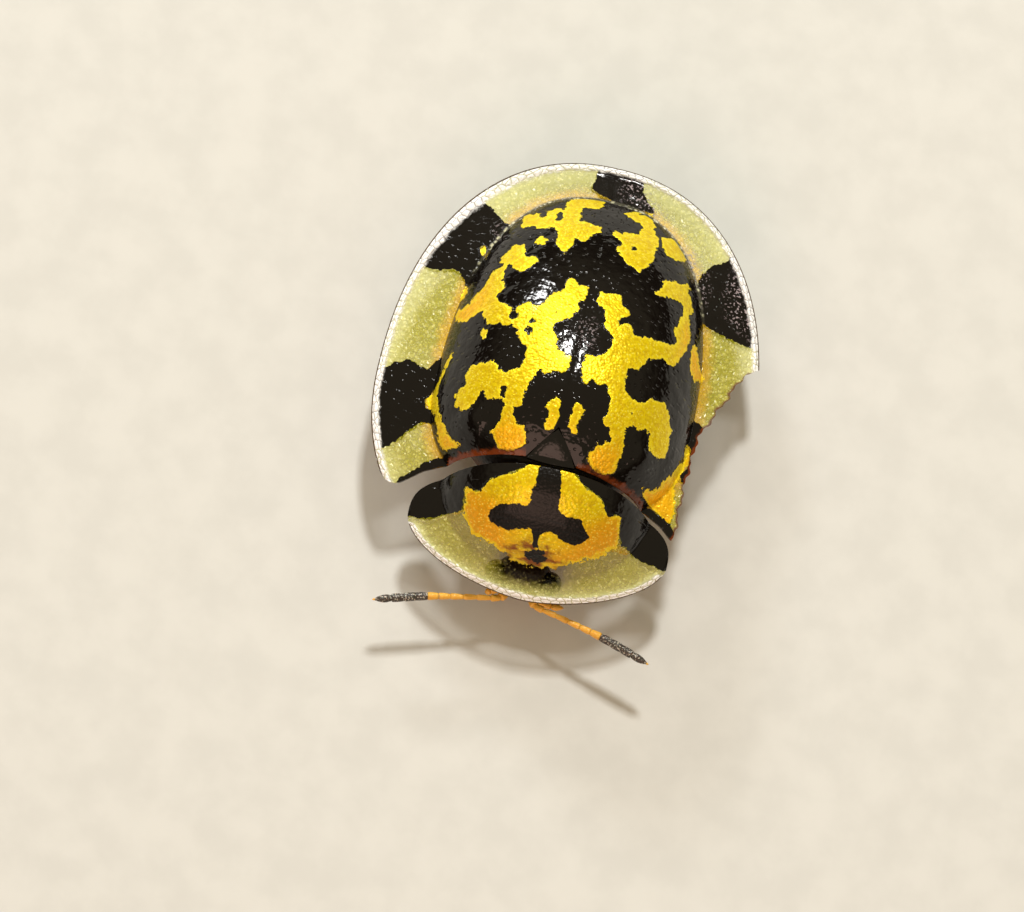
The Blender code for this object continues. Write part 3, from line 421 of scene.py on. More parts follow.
class BeetleSizes(bpy.types.PropertyGroup):
    """Sizes of the visible pieces, in metres."""

    shell: bpy.props.FloatProperty(
        name="Shell", description="Thickness of the domed shell",
        default=0.16 * MM, unit="LENGTH", precision=6,
    )
    margin: bpy.props.FloatProperty(
        name="Margin", description="Thickness of the clear spread margin",
        default=0.1 * MM, unit="LENGTH", precision=6,
    )
    bead: bpy.props.FloatProperty(
        name="Rim bead", description="Width of the raised bead round the rim",
        default=0.2 * MM, unit="LENGTH", precision=6,
    )
    rim_cell: bpy.props.FloatProperty(
        name="Rim cell", description="Length of one swollen cell along the rim",
        default=0.2 * MM, unit="LENGTH", precision=6,
    )
    grain: bpy.props.FloatProperty(
        name="Grain", description="Distance between the specks that make the gold glitter",
        default=0.07 * MM, unit="LENGTH", precision=6,
    )
    cell: bpy.props.FloatProperty(
        name="Margin cell", description="Width of one cell of the clear margin's honeycomb",
        default=0.13 * MM, unit="LENGTH", precision=6,
    )
    pit: bpy.props.FloatProperty(
        name="Pit spacing", description="Distance between the fine pits of the disc",
        default=0.2 * MM, unit="LENGTH", precision=6,
    )


class BeetleColours(bpy.types.PropertyGroup):
    """Colours of the cuticle."""

    gold: bpy.props.FloatVectorProperty(
        name="Gold", description="The metallic network on the disc",
        subtype="COLOR", size=3, min=0.0, max=1.0, default=linear("#ebd000"),
    )
    orange: bpy.props.FloatVectorProperty(
        name="Orange", description="The network near the base and the margins' inner edge",
        subtype="COLOR", size=3, min=0.0, max=1.0, default=linear("#fcc00c"),
    )
    black: bpy.props.FloatVectorProperty(
        name="Black", description="The disc's ground and the margins' patches",
        subtype="COLOR", size=3, min=0.0, max=1.0, default=linear("#0c0806"),
    )
    straw: bpy.props.FloatVectorProperty(
        name="Straw", description="The clear margins",
        subtype="COLOR", size=3, min=0.0, max=1.0, default=linear("#b8b408"),
    )
    pale: bpy.props.FloatVectorProperty(
        name="Pale cell", description="The clear margins' cells and outer border",
        subtype="COLOR", size=3, min=0.0, max=1.0, default=linear("#dcd66a"),
    )
    # Bead: the rim's swollen cells painted white, a painted highlight along the rim
    bead: bpy.props.FloatVectorProperty(
        name="Bead", description="The silvery row of cells round the rim",
        subtype="COLOR", size=3, min=0.0, max=1.0, default=linear("#ffffff"),
    )
    limb: bpy.props.FloatVectorProperty(
        name="Limb", description="Legs, palps and the inner two thirds of the feelers",
        subtype="COLOR", size=3, min=0.0, max=1.0, default=linear("#e8ae3e"),
    )
    body: bpy.props.FloatVectorProperty(
        name="Body", description="The dark underside and head",
        subtype="COLOR", size=3, min=0.0, max=1.0, default=linear("#22130c"),
    )
    amber: bpy.props.FloatVectorProperty(
        name="Amber", description="The pronotum's middle",
        subtype="COLOR", size=3, min=0.0, max=1.0, default=linear("#f0aa0a"),
    )


def to_model(points):
    """Points in mm from the scutellum as metres in the model's own frame."""
    return (np.asarray(points, float) + (SCUTELLUM_X, SCUTELLUM_Y, 0.0)) * MM


def oval(x, y, half_width, reach, power):
    """A superellipse's norm: 1.0 on its outline and less inside."""
    return (np.abs(x / half_width) ** power + np.abs(y / reach) ** power) ** (1.0 / power)


def rim_norm(x, y):
    reach = np.where(y > WIDEST_Y, APEX_Y - WIDEST_Y, FRONT_REACH)
    return oval(x, y - WIDEST_Y, HALF_WIDTH, reach, RIM_POWER)


def disc_norm(x, y):
    reach = np.where(y > DISC_WIDEST_Y, DISC_END_Y - DISC_WIDEST_Y, DISC_FRONT_REACH)
    return oval(x, y - DISC_WIDEST_Y, DISC_HALF_WIDTH, reach, DISC_POWER)


def soft_power(value, power, softness=0.04):
    """value ** power with its steep start cut off, and 0 below 0."""
    value = np.maximum(value, 0.0)
    top = (1.0 + softness) ** power - softness**power
    return ((value + softness) ** power - softness**power) / top


def superellipse_side(share, power):
    """Half width at a share of the reach, as a part of the widest."""
    return np.maximum(1.0 - np.clip(share, 0.0, 1.0) ** power, 1e-12) ** (1.0 / power)


def elytra_height(x, y):
    """The outer face of the wing cases."""
    crown = CROWN_RISE * (1.0 - rim_norm(x, y) ** 2)
    half = disc_half_width(y)
    tail = np.clip((y - DOME_PEAK_Y) / (DISC_END_Y - DOME_PEAK_Y), 0.0, 1.0)
    behind = DOME_HEIGHT * soft_power(1.0 - tail**TAIL_POWER, TAIL_ROUNDNESS)
    ahead = DOME_HEIGHT - (DOME_HEIGHT - DOME_BASE_HEIGHT) * (1.0 - y / DOME_PEAK_Y) ** 2
    dome = np.where(y > DOME_PEAK_Y, behind, ahead)
    dome = dome * soft_power(1.0 - (np.abs(x) / half) ** FLANK_POWER, FLANK_ROUNDNESS)
    bump = (np.abs(x) - SHOULDER[0]) ** 2 + (y - SHOULDER[1]) ** 2
    shoulder = SHOULDER_RISE * np.maximum(1.0 - bump / SHOULDER_SPREAD**2, 0.0) ** 2
    return RIM_HEIGHT + crown + dome + shoulder


def pronotum_height(x, y):
    """The outer face of the pronotum before it is turned, with y from its own middle."""
    ahead = PRONOTUM_REAR - y
    spread = (x / (PRONOTUM_CROWN_SPREAD * PRONOTUM_HALF_WIDTH)) ** 2
    length = (ahead / (PRONOTUM_FRONT + PRONOTUM_REAR)) ** 2
    crown = CROWN_RISE * (1.0 - spread - length)
    share = np.clip(ahead / PRONOTUM_DISC_LENGTH, 0.0, 1.0)
    half = PRONOTUM_DISC * superellipse_side(share, PRONOTUM_POWER)
    side = soft_power(1.0 - (np.abs(x) / half) ** FLANK_POWER, PRONOTUM_FLANK_ROUNDNESS)
    brow = soft_power(1.0 - share**PRONOTUM_BROW_POWER, PRONOTUM_BROW_ROUNDNESS)
    return RIM_HEIGHT + crown + PRONOTUM_DOME * brow * side


def pronotum_norm(x, y):
    reach = np.where(y < 0.0, PRONOTUM_FRONT, PRONOTUM_REAR)
    power = np.where(y < 0.0, PRONOTUM_FRONT_POWER, PRONOTUM_REAR_POWER)
    return oval(x, y, PRONOTUM_HALF_WIDTH, reach, power)


def pronotum_disc_norm(x, y):
    return oval(x, PRONOTUM_REAR - y, PRONOTUM_DISC, PRONOTUM_DISC_LENGTH, PRONOTUM_POWER)


def disc_half_width(y):
    reach = np.where(y > DISC_WIDEST_Y, DISC_END_Y - DISC_WIDEST_Y, DISC_FRONT_REACH)
    share = np.abs(y - DISC_WIDEST_Y) / reach
    return DISC_HALF_WIDTH * superellipse_side(share, DISC_POWER)


def slope(surface, x, y, step=0.02):
    """The gradient of a function of plan place."""
    along_x = (surface(x + step, y) - surface(x - step, y)) / (2.0 * step)
    along_y = (surface(x, y + step) - surface(x, y - step)) / (2.0 * step)
    return along_x, along_y


def distance_inside(norm, x, y):
    """About how far in mm a plan place is inside the outline where norm is 1.0."""
    along_x, along_y = slope(norm, x, y)
    return (1.0 - norm(x, y)) / np.maximum(np.hypot(along_x, along_y), 1e-6)


def rounded(outline):
    """An outline with its corners cut once."""
    corners = np.array(outline)
    after = np.roll(corners, -1, axis=0)
    cut = np.stack((0.75 * corners + 0.25 * after, 0.25 * corners + 0.75 * after), axis=1)
    return cut.reshape(-1, 2)


def depth_in_outline(x, y, outline):
    """How deep in mm each plan place is in a closed outline, negative outside."""
    corners = rounded(outline)
    nearest = np.full(x.shape, 99.0)
    inside = np.zeros(x.shape, bool)
    for (ax, ay), (bx, by) in zip(corners, np.roll(corners, -1, axis=0)):
        ex, ey = bx - ax, by - ay
        t = np.clip(((x - ax) * ex + (y - ay) * ey) / (ex**2 + ey**2), 0.0, 1.0)
        nearest = np.minimum(nearest, np.hypot(x - ax - t * ex, y - ay - t * ey))
        if ey:
            inside ^= ((ay > y) != (by > y)) & (x < ax + (y - ay) * ex / ey)
    return np.where(inside, nearest, -nearest)


def depth_in_outlines(x, y, outlines):
    return np.max([depth_in_outline(x, y, outline) for outline in outlines], axis=0)


def depth_in_dots(x, y, dots):
    """How deep in mm each plan place is in the nearest of some oval dots."""
    depths = []
    for dot_x, dot_y, wide, long in dots:
        share = np.hypot((x - dot_x) / wide, (y - dot_y) / long)
        depths.append((1.0 - share) * min(wide, long))
    return np.max(depths, axis=0)


def furthest(inside, count):
    """For each of count rows, the largest share, up to 1.0, that is still inside."""
    near, far = np.zeros(count), np.ones(count)
    for _ in range(HALVINGS):
        middle = 0.5 * (near + far)
        good = inside(middle)
        near = np.where(good, middle, near)
        far = np.where(good, far, middle)
    return near


def grid_faces(rows, columns, start=0):
    """Quads of a grid of points, and its outer edge as point numbers in order."""
    number = start + np.arange(rows * columns).reshape(rows, columns)
    quads = np.stack(
        (number[:-1, :-1], number[:-1, 1:], number[1:, 1:], number[1:, :-1]), axis=-1
    ).reshape(-1, 4)
    edge = [*number[0, :-1], *number[:-1, -1], *number[-1, :0:-1], *number[:0:-1, 0]]
    return quads.tolist(), edge


def mesh_piece(name, points, faces, material, values=None, sharp=50.0):
    """A clean smooth object from points in mm, with a float attribute for each of values."""
    mesh = bpy.data.meshes.new(name)
    mesh.from_pydata(to_model(points).tolist(), [], faces)
    for key, numbers in (values or {}).items():
        mesh.attributes.new(key, "FLOAT", "POINT").data.foreach_set("value", numbers)
    bm = bmesh.new()
    bm.from_mesh(mesh)
    bmesh.ops.remove_doubles(bm, verts=bm.verts[:], dist=0.0002 * MM)
    bmesh.ops.dissolve_degenerate(bm, edges=bm.edges[:], dist=0.0002 * MM)
    bmesh.ops.recalc_face_normals(bm, faces=bm.faces[:])
    bm.to_mesh(mesh)
    bm.free()
    mesh.shade_smooth()
    mesh.set_sharp_from_angle(angle=radians(sharp))
    mesh.materials.append(material)
    piece = bpy.data.objects.new(name, mesh)
    bpy.context.scene.collection.objects.link(piece)
    return piece


def thin_plate(name, x, y, z, normals, thickness, material, values, all_round=False):
    """A closed curved plate from grids of plan places, heights, normals and thicknesses.

    all_round says that the last row lies on the first, so only the last column is an edge.
    """
    top = np.stack((x, y, z), axis=-1)
    low = top - thickness[..., None] * normals
    faces, edge = grid_faces(*x.shape)
    low_faces, low_edge = grid_faces(*x.shape, start=x.size)
    if all_round:
        edge = edge[x.shape[1] - 1 : sum(x.shape) - 2]
        low_edge = [number + x.size for number in edge]
    walls = [
        (a, b, d, c)
        for a, b, c, d in zip(edge, edge[1:] + edge[:1], low_edge, low_edge[1:] + low_edge[:1])
    ]
    points = np.concatenate((top.reshape(-1, 3), low.reshape(-1, 3)))
    doubled = {key: np.tile(numbers.ravel(), 2) for key, numbers in values.items()}
    return mesh_piece(name, points, faces + low_faces + walls, material, doubled)


def upward_normals(height, x, y):
    along_x, along_y = slope(height, x, y)
    normals = np.stack((-along_x, -along_y, np.ones_like(along_x)), axis=-1)
    return normals / np.linalg.norm(normals, axis=-1, keepdims=True)


def rounded_thickness(thickness, to_edge, radius=0.05):
    """Thickness that rounds off to nothing at the edge."""
    share = np.clip(1.0 - to_edge / radius, 0.0, 1.0)
    return thickness * np.sqrt(np.maximum(1.0 - share**2, 0.0))


def bead_height(to_rim, width):
    """The raised bead just inside the rim."""
    return 0.3 * width * np.exp(-(((to_rim - 0.6 * width) / (0.4 * width)) ** 2))


def torn_limit(y):
    """How far out the torn left margin still reaches at y."""
    across, along = np.array(TORN_EDGE).T
    ragged = TORN_ROUGHNESS * (np.sin(9.0 * y) + 0.6 * np.sin(23.0 * y + 1.0))
    limit = np.interp(y, along, across) + ragged
    return np.where(y < along[-1], limit, 2.0 * HALF_WIDTH)


def base_line(x):
    across, along = np.array(BASE_EDGE).T
    return np.interp(x, across, along)


def wing_grid(side):
    """Plan grids of one wing case from the suture out, and the distance to its outer edge."""
    span = BASE_EDGE[-1][0]
    share = furthest(lambda t: rim_norm(t * span, base_line(t * span)) < 1.0, 1)[0]
    corner_x, corner_y = share * span, base_line(share * span)
    start_y = base_line(0.0)
    k = np.linspace(0.0, 1.0, ROWS + 1)[:, None]
    first = atan2(corner_y - WIDEST_Y, corner_x)
    angle = first + (0.5 * pi - first) * k
    length = 1.0 / rim_norm(np.cos(angle), WIDEST_Y + np.sin(angle))
    rim_x = np.maximum(length * np.cos(angle), 0.0)
    rim_y = WIDEST_Y + length * np.sin(angle)
    hub_y = start_y + (HUB_Y - start_y) * np.minimum(k / HUB_SHARE, 1.0)
    bend = np.maximum(1.0 - k / BASE_SHARE, 0.0) ** 2

    def on_rows(t):
        x = rim_x * t
        y = hub_y + (rim_y - hub_y) * t
        straight = start_y + (corner_y - start_y) * t
        return x, y + bend * (base_line(corner_x * t) - straight)

    def in_torn(t):
        x, y = on_rows(t[:, None])
        return (x < torn_limit(y))[:, 0]

    count = ROWS + 1
    end = furthest(in_torn, count) if side > 0 else np.ones(count)
    disc = furthest(lambda t: disc_norm(*on_rows(t[:, None]))[:, 0] < 1.0, count)
    disc = np.minimum(disc, LEAST_MARGIN * end)
    dome = np.sin(0.5 * pi * np.arange(DOME_RINGS + 1) / DOME_RINGS)
    margin = np.sin(0.5 * pi * np.arange(1, MARGIN_RINGS + 1) / MARGIN_RINGS)
    steps = np.concatenate(
        (disc[:, None] * dome, disc[:, None] + (end - disc)[:, None] * margin), axis=1
    )
    x, y = on_rows(steps)
    to_edge = np.hypot(x - x[:, -1:], y - y[:, -1:])
    return x, y, to_edge


def along_rim(x, y):
    """How far along the rim each row of a grid ends, in mm."""
    steps = np.hypot(np.diff(x[:, -1]), np.diff(y[:, -1]))
    walked = np.concatenate(((0.0,), np.cumsum(steps)))
    return np.repeat(walked[:, None], x.shape[1], axis=1)


def wing_case(side, sizes, material):
    """One wing case as a thin shell: half the dome with its clear margin and beaded rim."""
    x, y, to_edge = wing_grid(side)
    normals = upward_normals(elytra_height, x, y)
    normals[:, 0, 0] = 0.0
    to_rim = distance_inside(rim_norm, x, y)
    in_disc = distance_inside(disc_norm, x, y)
    shell, margin, bead = (value / MM for value in (sizes.shell, sizes.margin, sizes.bead))
    thickness = margin + (shell - margin) * np.clip(0.5 + in_disc / 0.6, 0.0, 1.0)
    thickness = rounded_thickness(thickness, to_edge)
    groove = SUTURE_DEPTH * np.exp(-((x / SUTURE_WIDTH) ** 2))
    z = elytra_height(x, y) + bead_height(to_rim, bead) - groove
    x = side * x
    normals[..., 0] *= side
    gold = LEFT_GOLD if side > 0 else RIGHT_GOLD
    patch = np.maximum(depth_in_outlines(x, y, gold.values()), depth_in_dots(x, y, GOLD_DOTS))
    patch = np.minimum(patch, -depth_in_dots(x, y, DARK_DOTS))
    dark = np.minimum(depth_in_outlines(x, y, MARGIN_BLACK.values()), -patch)
    near_base = np.clip(1.0 - y / 0.9, 0.0, 1.0)
    near_side = np.clip((np.abs(x) - 2.2) / 0.6, 0.0, 1.0)
    near_side = near_side * np.clip(1.6 - np.abs(y - 3.5), 0.0, 1.0)
    on_margin = np.clip(-in_disc / 0.1, 0.0, 1.0)

    # The rim's white bead band is painted widest at the right rear: a painted highlight streak
    rim_highlight_streak = np.exp(-(((x + 2.8) / 1.6) ** 2)) * np.clip((y - 3.5) / 2.0, 0.0, 1.0)
    values = {
        "patch": patch,
        "dark": dark,
        "disc": in_disc,
        "rim": to_rim * (1.0 - 0.38 * rim_highlight_streak),
        "edge": np.where(to_rim > to_edge + 0.12, to_edge, 9.0) if side > 0 else 0.0 * y + 9.0,
        "warm": np.maximum(np.maximum(near_base, near_side), on_margin),
        "along": along_rim(x, y),
        "across": STRIAE * np.abs(x) / disc_half_width(y),
        "hem": y - base_line(np.abs(x)) + 9.0 * ((np.abs(x) < 0.6) | (np.abs(x) > 2.5)),
        "smear": 0.0 * y - 9.0,
        "frost_and_glints": np.clip(depth_in_outlines(x, y, FROST_AND_GLINT_PLACES) / 0.3, 0.0, 1.0),
        "thin": 0.0 * y,
    }
    name = f"wing_case_{side_name(side)}"
    piece = thin_plate(name, x, y, z, normals, thickness, material, values)
    return placed(piece, "wing_case", f"elytron_{side_name(side)}")


def pronotum_place(points):
    """Points from the pronotum's own middle, turned and moved to where it lies."""
    x, y, z = np.moveaxis(np.asarray(points, float), -1, 0)
    across = PRONOTUM_X + x * cos(PRONOTUM_TURN) - y * sin(PRONOTUM_TURN)
    along = PRONOTUM_Y + x * sin(PRONOTUM_TURN) + y * cos(PRONOTUM_TURN)
    return np.stack((across, along, z), axis=-1)


def pronotum(sizes, material):
    """The shield over the head as a thin shell with a clear front margin."""
    angle = np.linspace(0.0, 2.0 * pi, PRONOTUM_ROWS + 1)[:, None]
    across, along = np.cos(angle), np.sin(angle)
    reach = 2.0 * PRONOTUM_HALF_WIDTH
    count = PRONOTUM_ROWS + 1

    def share_inside(norm):
        return furthest(
            lambda t: norm(reach * t[:, None] * across, reach * t[:, None] * along)[:, 0] < 1.0,
            count,
        )

    end = share_inside(pronotum_norm)
    disc = np.minimum(share_inside(pronotum_disc_norm), LEAST_MARGIN * end)
    dome = np.arange(PRONOTUM_DOME_RINGS + 1) / PRONOTUM_DOME_RINGS
    margin = np.sin(0.5 * pi * np.arange(1, PRONOTUM_MARGIN_RINGS + 1) / PRONOTUM_MARGIN_RINGS)
    steps = np.concatenate(
        (disc[:, None] * dome, disc[:, None] + (end - disc)[:, None] * margin), axis=1
    )
    x, y = reach * steps * across, reach * steps * along
    to_edge = np.hypot(x - x[:, -1:], y - y[:, -1:])
    bead = sizes.bead / MM * np.clip(0.6 - y, 0.0, 1.0)
    z = pronotum_height(x, y) + bead_height(to_edge, np.maximum(bead, 0.01))
    normals = upward_normals(pronotum_height, x, y)
    thickness = rounded_thickness(np.full(x.shape, sizes.margin / MM), to_edge)
    black = depth_in_outlines(x, y, PRONOTUM_BLACK.values())
    values = {
        "patch": depth_in_outline(x, y, AMBER),
        "dark": black,
        "disc": np.full(x.shape, -1.0),
        # rim also keeps the rim's white beads, a painted highlight, to the pronotum's front
        "rim": 1.3 * to_edge + 3.0 * np.maximum(y + 0.25, 0.0),
        "edge": 0.0 * y + 9.0,
        "warm": np.clip(0.35 + 0.9 * (np.abs(x) - 0.9) - 0.8 * y, 0.0, 1.0),
        "along": along_rim(x, y),
        "across": distance_inside(pronotum_disc_norm, x, y),
        "hem": 0.0 * y + 9.0,
        "smear": depth_in_outline(x, y, SMEAR),
        "frost_and_glints": 0.0 * y,
        "thin": np.exp(-((x / 0.95) ** 4) - ((y + 0.75) / 0.6) ** 4),
    }
    points = pronotum_place(np.stack((x, y, z), axis=-1))
    turned = normals.copy()
    turned[..., 0] = normals[..., 0] * cos(PRONOTUM_TURN) - normals[..., 1] * sin(PRONOTUM_TURN)
    turned[..., 1] = normals[..., 0] * sin(PRONOTUM_TURN) + normals[..., 1] * cos(PRONOTUM_TURN)
    x, y, z = np.moveaxis(points, -1, 0)
    piece = thin_plate("pronotum_shield", x, y, z, turned, thickness, material, values, True)
    return placed(piece, "pronotum", "pronotum")


def new_material(name):
    """A material, its node tree and its Principled shader."""
    material = bpy.data.materials.new(name)
    material.use_nodes = True
    tree = material.node_tree
    return material, tree, tree.nodes["Principled BSDF"]


def add(tree, kind, inputs, output=0, **settings):
    """Adds a node with its settings, sets or links its inputs, and returns one output."""
    node = tree.nodes.new(kind)
    for name, value in settings.items():
        setattr(node, name, value)
    feed(tree, node, inputs)
    return node.outputs[output]


def feed(tree, node, inputs):
    """Sets or links inputs, given in order or by name or number."""
    pairs = inputs.items() if isinstance(inputs, dict) else enumerate(inputs)
    for key, value in pairs:
        socket = node.inputs[key]
        if isinstance(value, bpy.types.NodeSocket):
            tree.links.new(value, socket)
        elif socket.type == "RGBA":
            socket.default_value = (*value, 1.0)
        else:
            socket.default_value = value


def layered(tree, first, *layers):
    """Lays each (mask, colour) over the colours before it."""
    colour = first
    for mask, over in layers:
        inputs = {0: mask, 6: colour, 7: over}
        colour = add(tree, "ShaderNodeMix", inputs, output=2, data_type="RGBA")
    return colour


def weighed(tree, first, *others):
    """Adds up first and each (value, weight)."""
    total = first
    for value, weight in others:
        total = add(tree, "ShaderNodeMath", (value, weight, total), operation="MULTIPLY_ADD")
    return total


def place_in_mm(tree):
    place = add(tree, "ShaderNodeTexCoord", (), output="Object")
    return add(tree, "ShaderNodeVectorMath", {0: place, "Scale": 1.0 / MM}, operation="SCALE")


def marks(tree, *names):
    """Outputs of the mesh's own float attributes."""
    return [add(tree, "ShaderNodeAttribute", (), output="Fac", attribute_name=n) for n in names]


SOFT = {"interpolation_type": "SMOOTHSTEP"}


def shell_material(name, sizes, colours, patch_colour, warm_colour, veil):
    """Living beetle cuticle, moulted smooth: a clear lacquer-like skin with colour below it.

    Black looks wet and deep, gold is metallic under the gloss, and the margins let the
    light through. The mesh holds how deep in mm each place is in each mark, and noise
    frays the marks' edges by up to 0.08 mm. The margins have the honeycomb of real ones,
    and the swollen clear cells round the rim are painted white as silver beads, a painted
    highlight along the rim. Real cells are about 0.05 mm wide and the gold's glitter is
    finer still, so both are drawn as coarse as they need to show; the glitter's bright
    specks are painted glints. veil is how much of what lies below a margin one face hides
    between the cells; over the head, where the mark called thin is 1.0, it hides nothing.
    """
    material, tree, shader = new_material(name)
    depth, dark, disc, rim, edge = marks(tree, "patch", "dark", "disc", "rim", "edge")
    warm, along, across, hem, smear = marks(tree, "warm", "along", "across", "hem", "smear")
    frost_and_glints, thin = marks(tree, "frost_and_glints", "thin")
    place = place_in_mm(tree)
    fray = add(tree, "ShaderNodeTexNoise", {
        "Vector": place, "Scale": 5.5, "Detail": 5.0, "Roughness": 0.62,
    })
    fray = weighed(tree, -0.15, (fray, 0.3))
    cloud = add(tree, "ShaderNodeTexNoise", {"Vector": place, "Scale": 1.1, "Detail": 2.0})
    dents = add(tree, "ShaderNodeTexNoise", {"Vector": place, "Scale": 3.4, "Detail": 2.0})
    fleck = add(tree, "ShaderNodeTexNoise", {"Vector": place, "Scale": 9.0, "Detail": 2.0})
    frosting = add(tree, "ShaderNodeTexNoise", {"Vector": place, "Scale": 15.0, "Detail": 2.0})
    in_cells = {"Vector": place, "Scale": MM / sizes.cell}
    cell = add(tree, "ShaderNodeTexVoronoi", in_cells)
    wall = add(tree, "ShaderNodeTexVoronoi", in_cells, feature="DISTANCE_TO_EDGE")
    grain = add(tree, "ShaderNodeTexVoronoi", {"Vector": place, "Scale": MM / sizes.grain})

    # The pits stand in rows that follow the wing case's length
    length = add(tree, "ShaderNodeSeparateXYZ", (place,), output="Y")
    down_row = weighed(tree, 0.0, (length, MM / sizes.pit))
    rows = add(tree, "ShaderNodeCombineXYZ", (across, down_row, 0.0))
    flat = {"voronoi_dimensions": "2D"}
    pit = add(tree, "ShaderNodeTexVoronoi", {"Vector": rows, "Scale": 1.0}, **flat)
    pit = add(tree, "ShaderNodeMapRange", (pit, 0.06, 0.2), **SOFT)

    patch_edge = weighed(tree, depth, (fray, 1.0))
    patch = add(tree, "ShaderNodeMapRange", (patch_edge, -0.008, 0.008), **SOFT)
    raised = add(tree, "ShaderNodeMapRange", (patch_edge, -0.04, 0.05), **SOFT)
    dark = weighed(tree, dark, (fray, 0.8))
    dark = add(tree, "ShaderNodeMapRange", (dark, -0.008, 0.008), **SOFT)
    on_disc = add(tree, "ShaderNodeMapRange", (disc, -0.03, 0.03), **SOFT)
    torn = add(tree, "ShaderNodeMapRange", (weighed(tree, edge, (fray, 0.9)), 0.09, 0.01), **SOFT)
    hem = add(tree, "ShaderNodeMapRange", (weighed(tree, hem, (fray, 1.2)), 0.15, 0.03), **SOFT)
    opaque = add(tree, "ShaderNodeMath", (on_disc, patch), operation="MAXIMUM")
    opaque = add(tree, "ShaderNodeMath", (opaque, dark), operation="MAXIMUM")
    clear = weighed(tree, 1.0, (opaque, -1.0))

    # Wrinkles round the front of the pronotum's amber
    folds = add(tree, "ShaderNodeCombineXYZ", (weighed(tree, 0.0, (across, 9.0)), along, 0.0))
    folds = add(tree, "ShaderNodeTexNoise", {"Vector": folds, "Scale": 1.0, "Detail": 2.0})
    smear = add(tree, "ShaderNodeMapRange", (weighed(tree, smear, (fray, 1.5)), -0.1, 0.16), **SOFT)
    folded = add(tree, "ShaderNodeMapRange", (folds, 0.38, 0.6, 0.2, 0.95), **SOFT)
    folded = add(tree, "ShaderNodeMath", (folded, smear), operation="MULTIPLY")

    # Swollen cells in two rows round the rim, painted white: a painted highlight along the rim
    round_rim = add(tree, "ShaderNodeCombineXYZ", (
        weighed(tree, 0.0, (along, MM / sizes.rim_cell)), weighed(tree, 0.0, (rim, 11.0)), 0.0,
    ))
    in_rim = {"Vector": round_rim, "Scale": 1.0, "Randomness": 0.85}
    rim_wall = add(tree, "ShaderNodeTexVoronoi", in_rim, feature="DISTANCE_TO_EDGE", **flat)
    band = add(tree, "ShaderNodeMapRange", (weighed(tree, rim, (fray, 0.5)), 0.22, 0.14), **SOFT)
    bead = add(tree, "ShaderNodeMapRange", (rim_wall, 0.0, 0.14, 0.35, 1.0), **SOFT)
    bead = add(tree, "ShaderNodeMath", (bead, band), operation="MULTIPLY")
    dome = add(tree, "ShaderNodeMapRange", (rim_wall, 0.0, 0.4), interpolation_type="SMOOTHERSTEP")
    dome = add(tree, "ShaderNodeMath", (dome, band), operation="MULTIPLY")
    brink = add(tree, "ShaderNodeMapRange", (rim, 0.035, 0.02), **SOFT)

    # A thin beaded ridge runs round the disc at the rear; its pale colour is a painted highlight
    # along it
    border = add(tree, "ShaderNodeMath", (disc,), operation="ABSOLUTE")
    border = weighed(tree, border, (fray, 0.2))
    border = add(tree, "ShaderNodeMapRange", (border, 0.07, 0.015), **SOFT)
    behind = add(tree, "ShaderNodeMapRange", (length, 2.2, 3.6), **SOFT)
    border = add(tree, "ShaderNodeMath", (border, behind), operation="MULTIPLY")
    ridge_and_highlight = add(tree, "ShaderNodeMapRange", (cell, 0.5, 0.25, 0.1, 0.9), **SOFT)
    ridge_and_highlight = add(tree, "ShaderNodeMath", (ridge_and_highlight, border), operation="MULTIPLY")

    # Pale purple-grey specks in the listed places, partly painted glints
    frost_and_glint_speck = add(tree, "ShaderNodeMapRange", (frosting, 0.57, 0.62), **SOFT)
    frost_and_glint_speck = add(tree, "ShaderNodeMath", (frost_and_glint_speck, frost_and_glints), operation="MULTIPLY")
    # Pale honeycomb cells: their own pale colour, with the brighter centres a painted highlight of
    # the swollen cells
    cell_light = weighed(tree, cell, (fleck, 1.2))
    cell_light = add(tree, "ShaderNodeMapRange", (cell_light, 1.2, 0.7), **SOFT)
    outer = add(tree, "ShaderNodeMapRange", (weighed(tree, rim, (fray, 1.5)), 0.75, 0.2), **SOFT)
    inner = weighed(tree, disc, (fray, 1.5))
    inner = add(tree, "ShaderNodeMapRange", (inner, -0.36, -0.05, 0.0, 0.65), **SOFT)
    warm = add(tree, "ShaderNodeMapRange", (weighed(tree, warm, (cloud, 0.7)), 0.4, 1.3), **SOFT)
    metal = layered(tree, patch_colour, (warm, warm_colour))
    # Darker olive flecks at random over the gold
    olive_fleck = add(tree, "ShaderNodeMapRange", (fleck, 0.45, 0.6, 0.0, 0.4), **SOFT)
    # Bright specks painted over the gold and the clear margins: painted glints, a painted highlight
    # rather than a colour of the cuticle
    painted_glint = weighed(tree, grain, (fleck, 0.8))
    painted_glint = add(tree, "ShaderNodeMapRange", (painted_glint, 0.76, 0.5, 0.0, 0.7), **SOFT)
    lit_edge = add(tree, "ShaderNodeMapRange", (patch_edge, 0.09, 0.03, 0.0, 0.6), **SOFT)
    metal = layered(tree, metal, (olive_fleck, linear("#c89a00")), (painted_glint, linear("#fff060")),
                    (lit_edge, linear("#ffe81e")))
    straw = layered(
        tree, colours.straw[:], (weighed(tree, 0.0, (cell_light, 0.7)), colours.pale[:]),
        (weighed(tree, 0.0, (outer, 0.5)), linear("#ecefb0")), (painted_glint, linear("#f6f4b0")),
        (inner, colours.orange[:]),
    )
    rust = linear("#6e3110")
